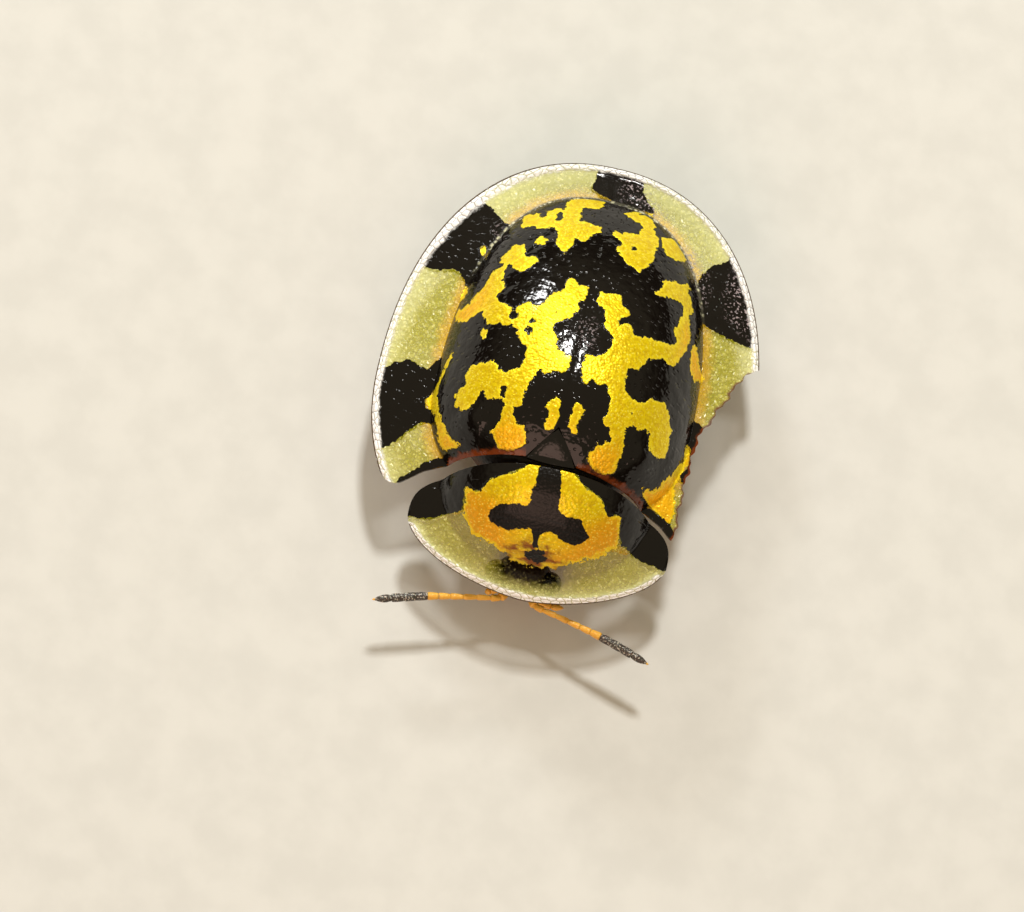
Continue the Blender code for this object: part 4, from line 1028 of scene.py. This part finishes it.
    # Over the straw and gold go the rim's white beads and the pale ridge at the disc's rear, both
    # painted highlights, and pale specks that are partly painted glints
    colour = layered(
        tree, straw, (on_disc, colours.black[:]), (patch, metal), (folded, linear("#7a3410")),
        (dark, colours.black[:]), (hem, rust), (torn, rust), (border, colours.black[:]),
        (ridge_and_highlight, linear("#d8d5b4")), (frost_and_glint_speck, linear("#9c8f93")), (bead, colours.bead[:]),
        (brink, linear("#4a3415")),
    )
    spread = weighed(
        tree, veil, (thin, -veil - 0.12), (cell_light, 0.1), (outer, 0.15), (painted_glint, 0.2),
        (opaque, 1.15),
    )
    alpha = (spread, weighed(tree, 0.0, (bead, 0.97)))
    alpha = add(tree, "ShaderNodeMath", alpha, operation="MAXIMUM")

    swollen = add(tree, "ShaderNodeMapRange", (wall, 0.0, 0.3), **SOFT)
    swollen = add(tree, "ShaderNodeMath", (swollen, clear), operation="MULTIPLY")
    glitter = add(tree, "ShaderNodeMath", (grain, patch), operation="MULTIPLY")
    relief = weighed(
        tree, 0.0, (pit, 0.007), (cloud, 0.04), (dents, 0.024), (raised, 0.012), (swollen, 0.012),
        (glitter, 0.012), (dome, 0.014), (ridge_and_highlight, 0.03), (frost_and_glint_speck, 0.015), (folded, 0.02),
    )
    feed(tree, shader, {
        "Base Color": colour,
        "Metallic": weighed(tree, 0.0, (patch, 0.4)),
        "Roughness": weighed(tree, 0.1, (patch, 0.26), (clear, 0.08)),
        "IOR": 1.5,
        "Specular IOR Level": 0.3,
        "Alpha": alpha,
        "Coat Weight": weighed(tree, 0.0, (patch, 0.12)),
        "Coat Roughness": 0.08,
        "Normal": add(tree, "ShaderNodeBump", {"Height": relief, "Distance": MM}),
    })
    return material


def limb_material(name, light, dark):
    """Satin leg cuticle, grown smooth with fine wrinkles, darker towards joints and tips."""
    material, tree, shader = new_material(name)
    (tone,) = marks(tree, "tone")
    place = place_in_mm(tree)
    blotch = add(tree, "ShaderNodeTexNoise", {"Vector": place, "Scale": 4.0, "Detail": 4.0})
    wrinkle = add(tree, "ShaderNodeTexVoronoi", {"Vector": place, "Scale": 16.0})
    fleck = add(tree, "ShaderNodeTexNoise", {"Vector": place, "Scale": 22.0, "Detail": 2.0})
    shade = add(tree, "ShaderNodeMapRange", (weighed(tree, tone, (blotch, 0.5)), 0.5, 0.85), **SOFT)
    fleck = add(tree, "ShaderNodeMapRange", (fleck, 0.54, 0.64, 0.0, 0.8), **SOFT)
    fleck = add(tree, "ShaderNodeMath", (fleck, shade), operation="MULTIPLY")
    colour = layered(tree, light, (shade, dark), (fleck, linear("#c9c2b4")))
    relief = weighed(tree, 0.0, (wrinkle, 0.012), (blotch, 0.03))
    feed(tree, shader, {
        "Base Color": colour,
        "Roughness": weighed(tree, 0.3, (blotch, 0.2)),
        "IOR": 1.5,
        "Subsurface Weight": 0.15,
        "Subsurface Scale": 0.1 * MM,
        "Normal": add(tree, "ShaderNodeBump", {"Height": relief, "Distance": MM}),
    })
    return material


def body_material(name, light, dark, cell=0.09, swell=0.008, roughness=0.28):
    """Thick dark body cuticle: satin, with a net of fine raised cells and paler seams."""
    material, tree, shader = new_material(name)
    (tone,) = marks(tree, "tone")
    place = place_in_mm(tree)
    cells = add(tree, "ShaderNodeTexVoronoi", {"Vector": place, "Scale": 1.0 / cell})
    cloud = add(tree, "ShaderNodeTexNoise", {"Vector": place, "Scale": 1.8, "Detail": 4.0})
    pale = add(tree, "ShaderNodeMapRange", (weighed(tree, tone, (cloud, 0.4)), 0.5, 0.95), **SOFT)
    colour = layered(tree, dark, (pale, light))
    relief = weighed(tree, 0.0, (cells, -swell), (cloud, 0.03))
    feed(tree, shader, {
        "Base Color": colour,
        "Roughness": weighed(tree, roughness, (cloud, 0.2)),
        "IOR": 1.5,
        "Specular IOR Level": 0.35,
        "Normal": add(tree, "ShaderNodeBump", {"Height": relief, "Distance": MM}),
    })
    return material


def paper_material():
    """Matt uncoated card: pale, with faint fibres and no gloss, so that shadows stay soft."""
    material, tree, shader = new_material("matt_pale_card")
    place = place_in_mm(tree)
    fibre = add(tree, "ShaderNodeTexNoise", {"Vector": place, "Scale": 0.9, "Detail": 5.0})
    shade = add(tree, "ShaderNodeMapRange", (fibre, 0.3, 0.7), **SOFT)
    colour = layered(tree, linear("#c8c9c6"), (shade, linear("#cecfcc")))
    feed(tree, shader, {"Base Color": colour, "Roughness": 0.85, "IOR": 1.45})
    return material


def aim(obj, place, target):
    """Puts an object at a place in mm and turns its -Z towards a target."""
    spot, goal = Vector(to_model(place)), Vector(to_model(target))
    obj.location = spot
    obj.rotation_euler = (goal - spot).to_track_quat("-Z", "Y").to_euler()


def softbox(name, place, size, watts, colour, target=(0.0, 2.0, 2.0)):
    """A rectangular soft light aimed at the beetle. size is in mm."""
    light = bpy.data.lights.new(name, "AREA")
    light.shape = "RECTANGLE"
    light.size, light.size_y = size[0] * MM, size[1] * MM
    light.energy = watts
    light.color = colour
    lamp = bpy.data.objects.new(name, light)
    bpy.context.scene.collection.objects.link(lamp)
    aim(lamp, place, target)
    return lamp


def photo_camera():
    """The camera at the photo's angle, rolled as the photo is, with its framing."""
    ahead = Vector((0.0, -cos(CAMERA_ELEVATION), sin(CAMERA_ELEVATION)))
    flat_up = Vector((0.0, sin(CAMERA_ELEVATION), cos(CAMERA_ELEVATION)))
    flat_right = Vector((1.0, 0.0, 0.0))
    right = cos(CAMERA_ROLL) * flat_right + sin(CAMERA_ROLL) * flat_up
    up = cos(CAMERA_ROLL) * flat_up - sin(CAMERA_ROLL) * flat_right
    scutellum_y = 0.2
    point = Vector((0.0, scutellum_y, float(elytra_height(np.array(0.0), np.array(scutellum_y)))))
    centre = point + (0.5 * FRAME_WIDTH_PX - SCUTELLUM_PX[0]) / PIXELS_PER_MM * right
    centre -= (0.5 * FRAME_HEIGHT_PX - SCUTELLUM_PX[1]) / PIXELS_PER_MM * up
    data = bpy.data.cameras.new("photo_camera")
    data.sensor_width = SENSOR_MM
    data.lens = SENSOR_MM * CAMERA_DISTANCE * PIXELS_PER_MM / FRAME_WIDTH_PX
    data.clip_start = MM
    camera = bpy.data.objects.new("photo_camera", data)
    bpy.context.scene.collection.objects.link(camera)
    turn = Matrix((right, up, ahead)).transposed().to_4x4()
    camera.matrix_world = Matrix.Translation(to_model(centre + CAMERA_DISTANCE * ahead)) @ turn
    bpy.context.scene.camera = camera


def stage():
    """A pale floor, a soft key from behind on the right, fills and a dim warm card in front."""
    mesh = bpy.data.meshes.new("floor")
    floor_bm = bmesh.new()
    bmesh.ops.create_grid(floor_bm, x_segments=8, y_segments=8, size=FLOOR_HALF_WIDTH)
    floor_bm.to_mesh(mesh)
    floor_bm.free()
    mesh.materials.append(paper_material())
    floor = bpy.data.objects.new("floor", mesh)
    bpy.context.scene.collection.objects.link(floor)
    for light in SOFTBOXES:
        softbox(*light)
    world = bpy.data.worlds.new("studio")
    world.use_nodes = True
    tree = world.node_tree
    direction = add(tree, "ShaderNodeTexCoord", (), output="Generated")
    height = add(tree, "ShaderNodeSeparateXYZ", (direction,), output="Z")
    high = add(tree, "ShaderNodeMapRange", (height, 0.05, 0.5), **SOFT)
    colour = layered(tree, linear("#4c463a"), (high, linear("#f6e8c2")))
    feed(tree, tree.nodes["Background"], {"Color": colour, "Strength": 0.5})
    bpy.context.scene.world = world
    bpy.context.scene.view_settings.view_transform = "Standard"
    photo_camera()


def smooth(stations, steps):
    """Points along a Catmull-Rom curve through rows of numbers."""
    p = np.array(stations, float)
    p = np.concatenate((2.0 * p[:1] - p[1:2], p, 2.0 * p[-1:] - p[-2:-1]))
    t = np.arange(steps)[:, None] / steps
    curve = []
    for a, b, c, d in zip(p, p[1:], p[2:], p[3:]):
        square, cube = 2.0 * a - 5.0 * b + 4.0 * c - d, 3.0 * b - a - 3.0 * c + d
        curve.append(0.5 * (2.0 * b + t * (c - a) + t**2 * square + t**3 * cube))
    return np.concatenate((*curve, p[-2:-1]))


def unit(vectors):
    return vectors / np.linalg.norm(vectors, axis=-1, keepdims=True)


def swept(path, radii, across, sides=18, flat=1.0):
    """A closed tube round a path. across is roughly square to it; flat squashes the other way."""
    ahead = unit(np.gradient(path, axis=0))
    wide = unit(across - np.sum(ahead * across, axis=1, keepdims=True) * ahead)
    high = np.cross(ahead, wide)
    turn = 2.0 * pi * np.arange(sides + 1)[None, :, None] / sides
    ring = np.cos(turn) * wide[:, None] + flat * np.sin(turn) * high[:, None]
    points = path[:, None] + radii[:, None, None] * ring
    faces, _ = grid_faces(len(path), sides + 1)
    return points.reshape(-1, 3), faces


def joint(start, end, profile, radius, across, flat=1.0, bow=(0.0, 0.0, 0.0), tone=0.0):
    """One joint of a limb from start to end, bowed sideways by bow at its middle."""
    share, size = np.maximum(smooth(profile, 4), 0.0).T
    share = np.minimum(share, 1.0)
    start, end = np.array(start), np.array(end)
    path = start + share[:, None] * (end - start) + np.sin(pi * share)[:, None] * np.array(bow)
    points, faces = swept(path, radius * size, np.array(across, float), flat=flat)
    near_end = np.repeat(np.abs(2.0 * share - 1.0) ** 6, len(points) // len(share))
    return points, faces, tone + 0.25 * near_end


def blob(centre, size, tone=0.0, rows=20, columns=32):
    """A closed ellipsoid."""
    lift = np.linspace(-0.5 * pi, 0.5 * pi, rows)
    axis = np.array(centre) + np.array((0.0, 0.0, size[2])) * np.sin(lift)[:, None]
    points, faces = swept(axis, np.cos(lift), np.array((1.0, 0.0, 0.0)), columns)
    points = np.array(centre) + (points - centre) * (size[0], size[1], 1.0)
    return points, faces, np.full(len(points), tone)


def joined(name, parts, material, sharp=50.0):
    """One object from several closed parts, each of points, faces and tones."""
    points, faces, tones = [], [], []
    start = 0
    for part_points, part_faces, part_tones in parts:
        points.append(part_points)
        faces += [tuple(start + i for i in face) for face in part_faces]
        tones.append(part_tones)
        start += len(part_points)
    values = {"tone": np.concatenate(tones)}
    return mesh_piece(name, np.concatenate(points), faces, material, values, sharp)


def side_name(side):
    return "left" if side > 0 else "right"


def placed(piece, slot, *nodes):
    """Hangs a piece on the body and hides the solids it stands for. slot is not used."""
    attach(piece, "root")
    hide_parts(*nodes)
    return piece


def leg(place_name, side, material):
    """A leg: round coxa, stout femur, widening tibia and a flat lobed foot with two claws."""
    hip, knee, ankle, toe = (np.array((side * x, y, z)) for x, y, z in LEG_ROUTES[place_name])
    outward = unit(toe - ankle) * (1.0, 1.0, 0.0)
    outward = unit(outward)
    across = np.cross(outward, (0.0, 0.0, 1.0))
    parts = [
        blob(hip + (0.0, 0.0, 0.1), (0.32, 0.26, 0.3), 0.25),
        joint(hip, hip + 0.3 * (knee - hip), LOBE, 0.15, across, tone=0.15),
        joint(hip + 0.12 * (knee - hip), knee, FEMUR, FEMUR_RADIUS, across, 1.15),
    ]
    foot = toe - ankle
    foot[2] = 0.0
    start = ankle * (1.0, 1.0, 0.0) + (0.0, 0.0, FOOT_HEIGHT)
    shin = knee + (0.0, 0.0, 0.05), start + (0.0, 0.0, 0.05)
    parts.append(joint(*shin, TIBIA, TIBIA_RADIUS, across, 0.8, -0.07 * outward))
    parts.append(blob(start + 0.05 * foot, (0.11, 0.11, 0.1), 0.6))
    for near, far, wide in ((-0.12, 0.3, 0.15), (0.18, 0.52, 0.2)):
        parts.append(joint(start + near * foot, start + far * foot, BARREL, wide, across, 0.7))
    for spread in (-1.0, 1.0):
        lobe_start = start + 0.42 * foot + 0.05 * spread * across
        lobe_end = start + 0.95 * foot + 0.13 * spread * across
        parts.append(joint(lobe_start, lobe_end, LOBE, 0.13, across, 0.9))
        claw_start = start + 0.98 * foot + (0.0, 0.0, 0.03) + 0.03 * spread * across
        claw_end = claw_start + 0.2 * outward + 0.1 * spread * across - (0.0, 0.0, 0.1)
        bow = 0.05 * np.array((0.0, 0.0, 1.0)) + 0.04 * spread * across
        parts.append(joint(claw_start, claw_end, CLAW, CLAW_RADIUS, across, bow=bow, tone=0.9))
    parts.append(joint(start + 0.5 * foot, start + 1.05 * foot, BARREL, 0.07, across))
    for points, _, _ in parts:
        points[:, 2] = np.maximum(points[:, 2], 0.0)
    piece = joined(f"{place_name}_leg_{side_name(side)}", parts, material)
    return placed(piece, "limb", f"leg_{place_name}_{side_name(side)}")


def feeler(side, material):
    """A feeler of eleven joints: orange and slim, then five thicker dark ones."""
    route = smooth([(side * x, y, z) for x, y, z in ANTENNA_ROUTE], 24)
    steps = np.linalg.norm(np.diff(route, axis=0), axis=1)
    walked = np.concatenate(((0.0,), np.cumsum(steps))) / np.sum(steps)
    ends = np.concatenate(((0.0,), np.cumsum(ANTENNA_JOINTS))) / np.sum(ANTENNA_JOINTS)
    stops = np.stack([np.interp(ends, walked, route[:, i]) for i in range(3)], axis=1)
    parts = []
    for k, (start, end) in enumerate(zip(stops, stops[1:])):
        profile = CLUB if k >= DARK_JOINTS else BARREL
        if k == len(ANTENNA_JOINTS) - 1:
            profile = SPINDLE
        tone = 0.75 if k >= DARK_JOINTS else 0.04 * k
        radius = ANTENNA_RADIUS * ANTENNA_RADII[k]
        overlap = 0.06 * (end - start)
        parts.append(joint(start - overlap, end, profile, radius, (0, 0, 1), tone=tone))
    tip = end - 0.15 * (end - start)
    parts.append(joint(tip, end + 0.04 * (end - start), SPINDLE, 0.3 * ANTENNA_RADIUS, (0, 0, 1)))
    piece = joined(f"feeler_{side_name(side)}", parts, material)
    return placed(piece, "limb", f"antenna_{side_name(side)}")


def head(material):
    """The head capsule with its raised clypeus, furrowed brow and short neck."""
    x, y, z = HEAD_CENTRE
    points, faces, tones = blob(HEAD_CENTRE, HEAD_SIZE, 0.1, 60, 90)
    share = (points - HEAD_CENTRE) / HEAD_SIZE
    front = np.clip(-share[:, 1], 0.0, 1.0)
    clypeus_width = 0.15 + 0.35 * np.clip(0.3 - share[:, 2], 0, 1)
    clypeus = np.clip(1.0 - np.abs(share[:, 0]) / clypeus_width, 0, 1)
    clypeus = clypeus * (share[:, 2] < 0.3) * front
    furrow = np.exp(-((share[:, 0] / 0.05) ** 2)) * np.clip(share[:, 2] + 0.1, 0.0, 1.0)
    points[:, 1] -= 0.07 * clypeus**0.5 - 0.04 * furrow * front
    tones = tones + 0.6 * clypeus
    parts = [(points, faces, tones)]
    parts.append(blob((x, y + 0.5, z + 0.1), (0.5, 0.4, 0.42), 0.0))
    for side in (-1, 1):
        socket = (x + side * 0.23, y - 0.4, z + 0.04)
        parts.append(blob(socket, (0.13, 0.1, 0.12), 0.5))
    return placed(joined("head_capsule", parts, material), "head", "head")


def eye(side, material):
    """A compound eye, taller than wide."""
    x, y, z = HEAD_CENTRE
    centre = (x + side * EYE_PLACE[0], y + EYE_PLACE[1], z + EYE_PLACE[2])
    part = blob(centre, EYE_SIZE, 0.0, 40, 60)
    piece = joined(f"compound_eye_{side_name(side)}", [part], material)
    return placed(piece, "eye", f"eye_{side_name(side)}")


def mouth(material):
    """Labrum, jaws and two pairs of jointed palps."""
    _, y, z = HEAD_CENTRE
    down = z - HEAD_SIZE[2]
    labrum = (-0.26, y - 0.3, down + 0.1), (0.26, y - 0.3, down + 0.1)
    parts = [joint(*labrum, LOBE, 0.13, (0, 1, 0), 0.8)]
    for side in (-1, 1):
        jaw = (side * 0.3, y - 0.16, down), (-side * 0.02, y - 0.4, down - 0.06)
        parts.append(joint(*jaw, SPINDLE, 0.13, (0, 0, 1), tone=0.5))
    palps = (
        ((0.3, y - 0.22, down + 0.05), (0.52, -2.83, 0.72), (0.84, -2.93, 0.84),
         (1.16, -2.9, 0.87)),
        ((-0.3, y - 0.22, down + 0.05), (-0.5, -2.72, 0.62), (-0.7, -2.8, 0.56),
         (-0.84, -2.82, 0.42)),
        ((0.12, y - 0.1, down - 0.04), (0.16, -2.6, 0.4), (0.2, -2.68, 0.34)),
        ((-0.12, y - 0.1, down - 0.04), (-0.16, -2.6, 0.4), (-0.2, -2.68, 0.34)),
    )
    for route in palps:
        for k, (start, end) in enumerate(zip(route, route[1:])):
            last = k == len(route) - 2
            parts.append(joint(start, end, SPINDLE if last else BARREL, 0.09, (0, 0, 1)))
    return placed(joined("mouthparts_detail", parts, material), "limb", "mouthparts")


def trunk(material):
    """One skin for the prothorax, thorax and abdomen, with their seams across the belly."""
    y = np.linspace(TRUNK_FRONT, TRUNK_REAR, 260)
    under_shield = pronotum_height(0.0 * y, y - PRONOTUM_Y)
    under_cases = elytra_height(0.0 * y, np.maximum(y, 0.0))
    share = np.clip((y - WAIST_Y) / 0.6 + 0.5, 0.0, 1.0)
    roof = under_shield + (under_cases - under_shield) * share - TRUNK_CLEARANCE
    wide = PRONOTUM_DISC + (disc_half_width(y) - PRONOTUM_DISC) * share - TRUNK_CLEARANCE
    length = TRUNK_REAR - TRUNK_FRONT
    ends = superellipse_side(1.0 - (y - TRUNK_FRONT) / length, END_POWER)
    ends = ends * superellipse_side((y - TRUNK_FRONT) / length, END_POWER)
    ends = ends * (1.0 - WAIST_DEPTH * np.exp(-(((y - WAIST_Y) / WAIST_WIDTH) ** 2)))
    seam = np.max([np.exp(-(((y - s) / SEAM_WIDTH) ** 2)) for s in SEAMS], axis=0)
    scale = [0.25 * np.clip((y - s) / 0.8, 0.0, 1.0) for s in SEAMS[3:]]
    scale = np.sum(scale, axis=0) % 0.25
    side = np.minimum(TRUNK_SIDE, TRUNK_BOTTOM + SIDE_SHARE * (roof - TRUNK_BOTTOM))
    turn = np.linspace(0.0, 2.0 * pi, 121)[None, :]
    lift = np.sin(turn)
    top = ((roof - side) * ends)[:, None] * np.maximum(lift, 0.0) ** BACK_POWER
    belly = np.maximum(-lift, 0.0)
    drop = ((side - TRUNK_BOTTOM) * ends - SEAM_DEPTH * seam)[:, None] * belly**BELLY_POWER
    keel = 0.03 * np.exp(-((np.cos(turn) / 0.06) ** 2)) * belly
    z = side[:, None] + top - drop - keel + 0.16 * scale[:, None] * belly
    x = (wide * ends)[:, None] * np.cos(turn)
    points = np.stack((x, np.repeat(y[:, None], turn.size, axis=1), z), axis=-1)
    tones = np.clip(0.55 * seam[:, None] + 0.7 * np.abs(np.cos(turn)) ** 8, 0.0, 1.0)
    faces, _ = grid_faces(y.size, turn.size)
    last = y.size * turn.size
    faces += [tuple(range(turn.size)), tuple(range(last - turn.size, last))]
    part = (points.reshape(-1, 3), faces, tones.ravel())
    return placed(joined("trunk_skin", [part], material), "trunk", "prothorax", "thorax", "abdomen")


def scutellum(material):
    """The small black triangle between the bases of the wing cases, gently domed."""
    corners = np.array(SCUTELLUM_CORNERS)
    middle = corners.mean(axis=0)
    edge = []
    for a, b in zip(corners, np.roll(corners, -1, axis=0)):
        share = np.linspace(0.0, 1.0, 24, endpoint=False)[:, None]
        bulge = 0.05 * np.sin(pi * share) * unit((0.5 * (a + b) - middle)[None])
        edge.append(a + share * (b - a) + bulge)
    edge = np.concatenate(edge)
    edge = np.concatenate((edge, edge[:1]))
    share = np.sin(0.5 * pi * np.linspace(0.0, 1.0, 16))[None, :, None]
    plan = middle + share * (edge[:, None] - middle)
    x, y = plan[..., 0], plan[..., 1]
    to_edge = np.hypot(x - x[:, -1:], y - y[:, -1:])
    z = elytra_height(x, np.maximum(y, -0.2)) + 0.07 * (1.0 - share[..., 0] ** 2)
    normals = np.zeros((*x.shape, 3))
    normals[..., 2] = 1.0
    thickness = rounded_thickness(np.full(x.shape, 0.2), to_edge, 0.06)
    tone = {"tone": np.zeros(x.shape)}
    piece = thin_plate("scutellum_plate", x, y, z, normals, thickness, material, tone, True)
    return placed(piece, "black_plate", "scutellum")


class BEETLE_OT_wing_cases(bpy.types.Operator):
    """Builds both wing cases with their gold network and clear margins"""

    bl_idname = "beetle.wing_cases"
    bl_label = "Wing cases"

    def execute(self, context):
        sizes, colours = context.scene.beetle_sizes, context.scene.beetle_colours
        gold = shell_material(
            "glossy_black_and_gold_cuticle", sizes, colours, colours.gold[:], colours.orange[:],
            WING_VEIL,
        )
        for side in (-1, 1):
            wing_case(side, sizes, gold)
        return {"FINISHED"}


class BEETLE_OT_pronotum(bpy.types.Operator):
    """Builds the pronotum with its amber middle, black marks and clear front"""

    bl_idname = "beetle.pronotum"
    bl_label = "Pronotum"

    def execute(self, context):
        sizes, colours = context.scene.beetle_sizes, context.scene.beetle_colours
        amber = shell_material(
            "glossy_amber_cuticle", sizes, colours, colours.gold[:], colours.amber[:],
            PRONOTUM_VEIL,
        )
        pronotum(sizes, amber)
        return {"FINISHED"}


class BEETLE_OT_scutellum(bpy.types.Operator):
    """Builds the small black plate between the wing cases"""

    bl_idname = "beetle.scutellum"
    bl_label = "Scutellum"

    def execute(self, context):
        colours = context.scene.beetle_colours
        black = body_material(
            "polished_black_cuticle", colours.body[:], colours.black[:], swell=0.006, roughness=0.1,
        )
        scutellum(black)
        return {"FINISHED"}


class BEETLE_OT_trunk(bpy.types.Operator):
    """Builds the body below the shield as one skin"""

    bl_idname = "beetle.trunk"
    bl_label = "Trunk"

    def execute(self, context):
        colours = context.scene.beetle_colours
        trunk(body_material("satin_dark_cuticle", linear("#5e3414"), colours.body[:]))
        return {"FINISHED"}


class BEETLE_OT_head(bpy.types.Operator):
    """Builds the head with its eyes and mouthparts"""

    bl_idname = "beetle.head"
    bl_label = "Head"

    def execute(self, context):
        colours = context.scene.beetle_colours
        head(body_material("grained_brown_cuticle", linear("#8a4b16"), colours.body[:]))
        lens = body_material(
            "faceted_eye_lenses", colours.body[:], colours.black[:],
            cell=0.03, swell=0.006, roughness=0.03,
        )
        for side in (-1, 1):
            eye(side, lens)
        mouth(limb_material("glossy_orange_mouth_cuticle", colours.limb[:], linear("#3a1606")))
        return {"FINISHED"}


class BEETLE_OT_feelers(bpy.types.Operator):
    """Builds both feelers of eleven joints"""

    bl_idname = "beetle.feelers"
    bl_label = "Feelers"

    def execute(self, context):
        colours = context.scene.beetle_colours
        downy = limb_material("downy_feeler_cuticle", colours.limb[:], linear("#3a332d"))
        for side in (-1, 1):
            feeler(side, downy)
        return {"FINISHED"}


class BEETLE_OT_legs(bpy.types.Operator):
    """Builds the six legs with their lobed feet and claws"""

    bl_idname = "beetle.legs"
    bl_label = "Legs"

    def execute(self, context):
        colours = context.scene.beetle_colours
        satin = limb_material("satin_leg_cuticle", colours.limb[:], linear("#4a1d08"))
        for place_name in LEG_ROUTES:
            for side in (-1, 1):
                leg(place_name, side, satin)
        return {"FINISHED"}


class BEETLE_OT_stage(bpy.types.Operator):
    """Builds the pale floor, the soft lights and the camera"""

    bl_idname = "beetle.stage"
    bl_label = "Studio"

    def execute(self, context):
        stage()
        return {"FINISHED"}


class BEETLE_PT_panel(bpy.types.Panel):
    """Lists the beetle's pieces"""

    bl_idname = "BEETLE_PT_panel"
    bl_label = "Tortoise beetle"
    bl_space_type = "VIEW_3D"
    bl_region_type = "UI"
    bl_category = "Beetle"

    def draw(self, context):
        column = self.layout.column(align=True)
        for piece in PIECES:
            column.operator(piece.bl_idname)
        for group in (context.scene.beetle_sizes, context.scene.beetle_colours):
            for key in group.__annotations__:
                self.layout.prop(group, key)


PIECES = (
    BEETLE_OT_wing_cases, BEETLE_OT_pronotum, BEETLE_OT_scutellum, BEETLE_OT_trunk,
    BEETLE_OT_head, BEETLE_OT_feelers, BEETLE_OT_legs, BEETLE_OT_stage,
)
CLASSES = (BeetleSizes, BeetleColours, *PIECES, BEETLE_PT_panel)


def register():
    for cls in CLASSES:
        bpy.utils.register_class(cls)
    bpy.types.Scene.beetle_sizes = bpy.props.PointerProperty(type=BeetleSizes)
    bpy.types.Scene.beetle_colours = bpy.props.PointerProperty(type=BeetleColours)


def unregister():
    del bpy.types.Scene.beetle_sizes
    del bpy.types.Scene.beetle_colours
    for cls in reversed(CLASSES):
        bpy.utils.unregister_class(cls)


def main():
    register()
    bpy.ops.beetle.wing_cases()
    bpy.ops.beetle.pronotum()
    bpy.ops.beetle.scutellum()
    bpy.ops.beetle.trunk()
    bpy.ops.beetle.head()
    bpy.ops.beetle.feelers()
    bpy.ops.beetle.legs()
    bpy.ops.beetle.stage()


if __name__ == "__main__":
    main()
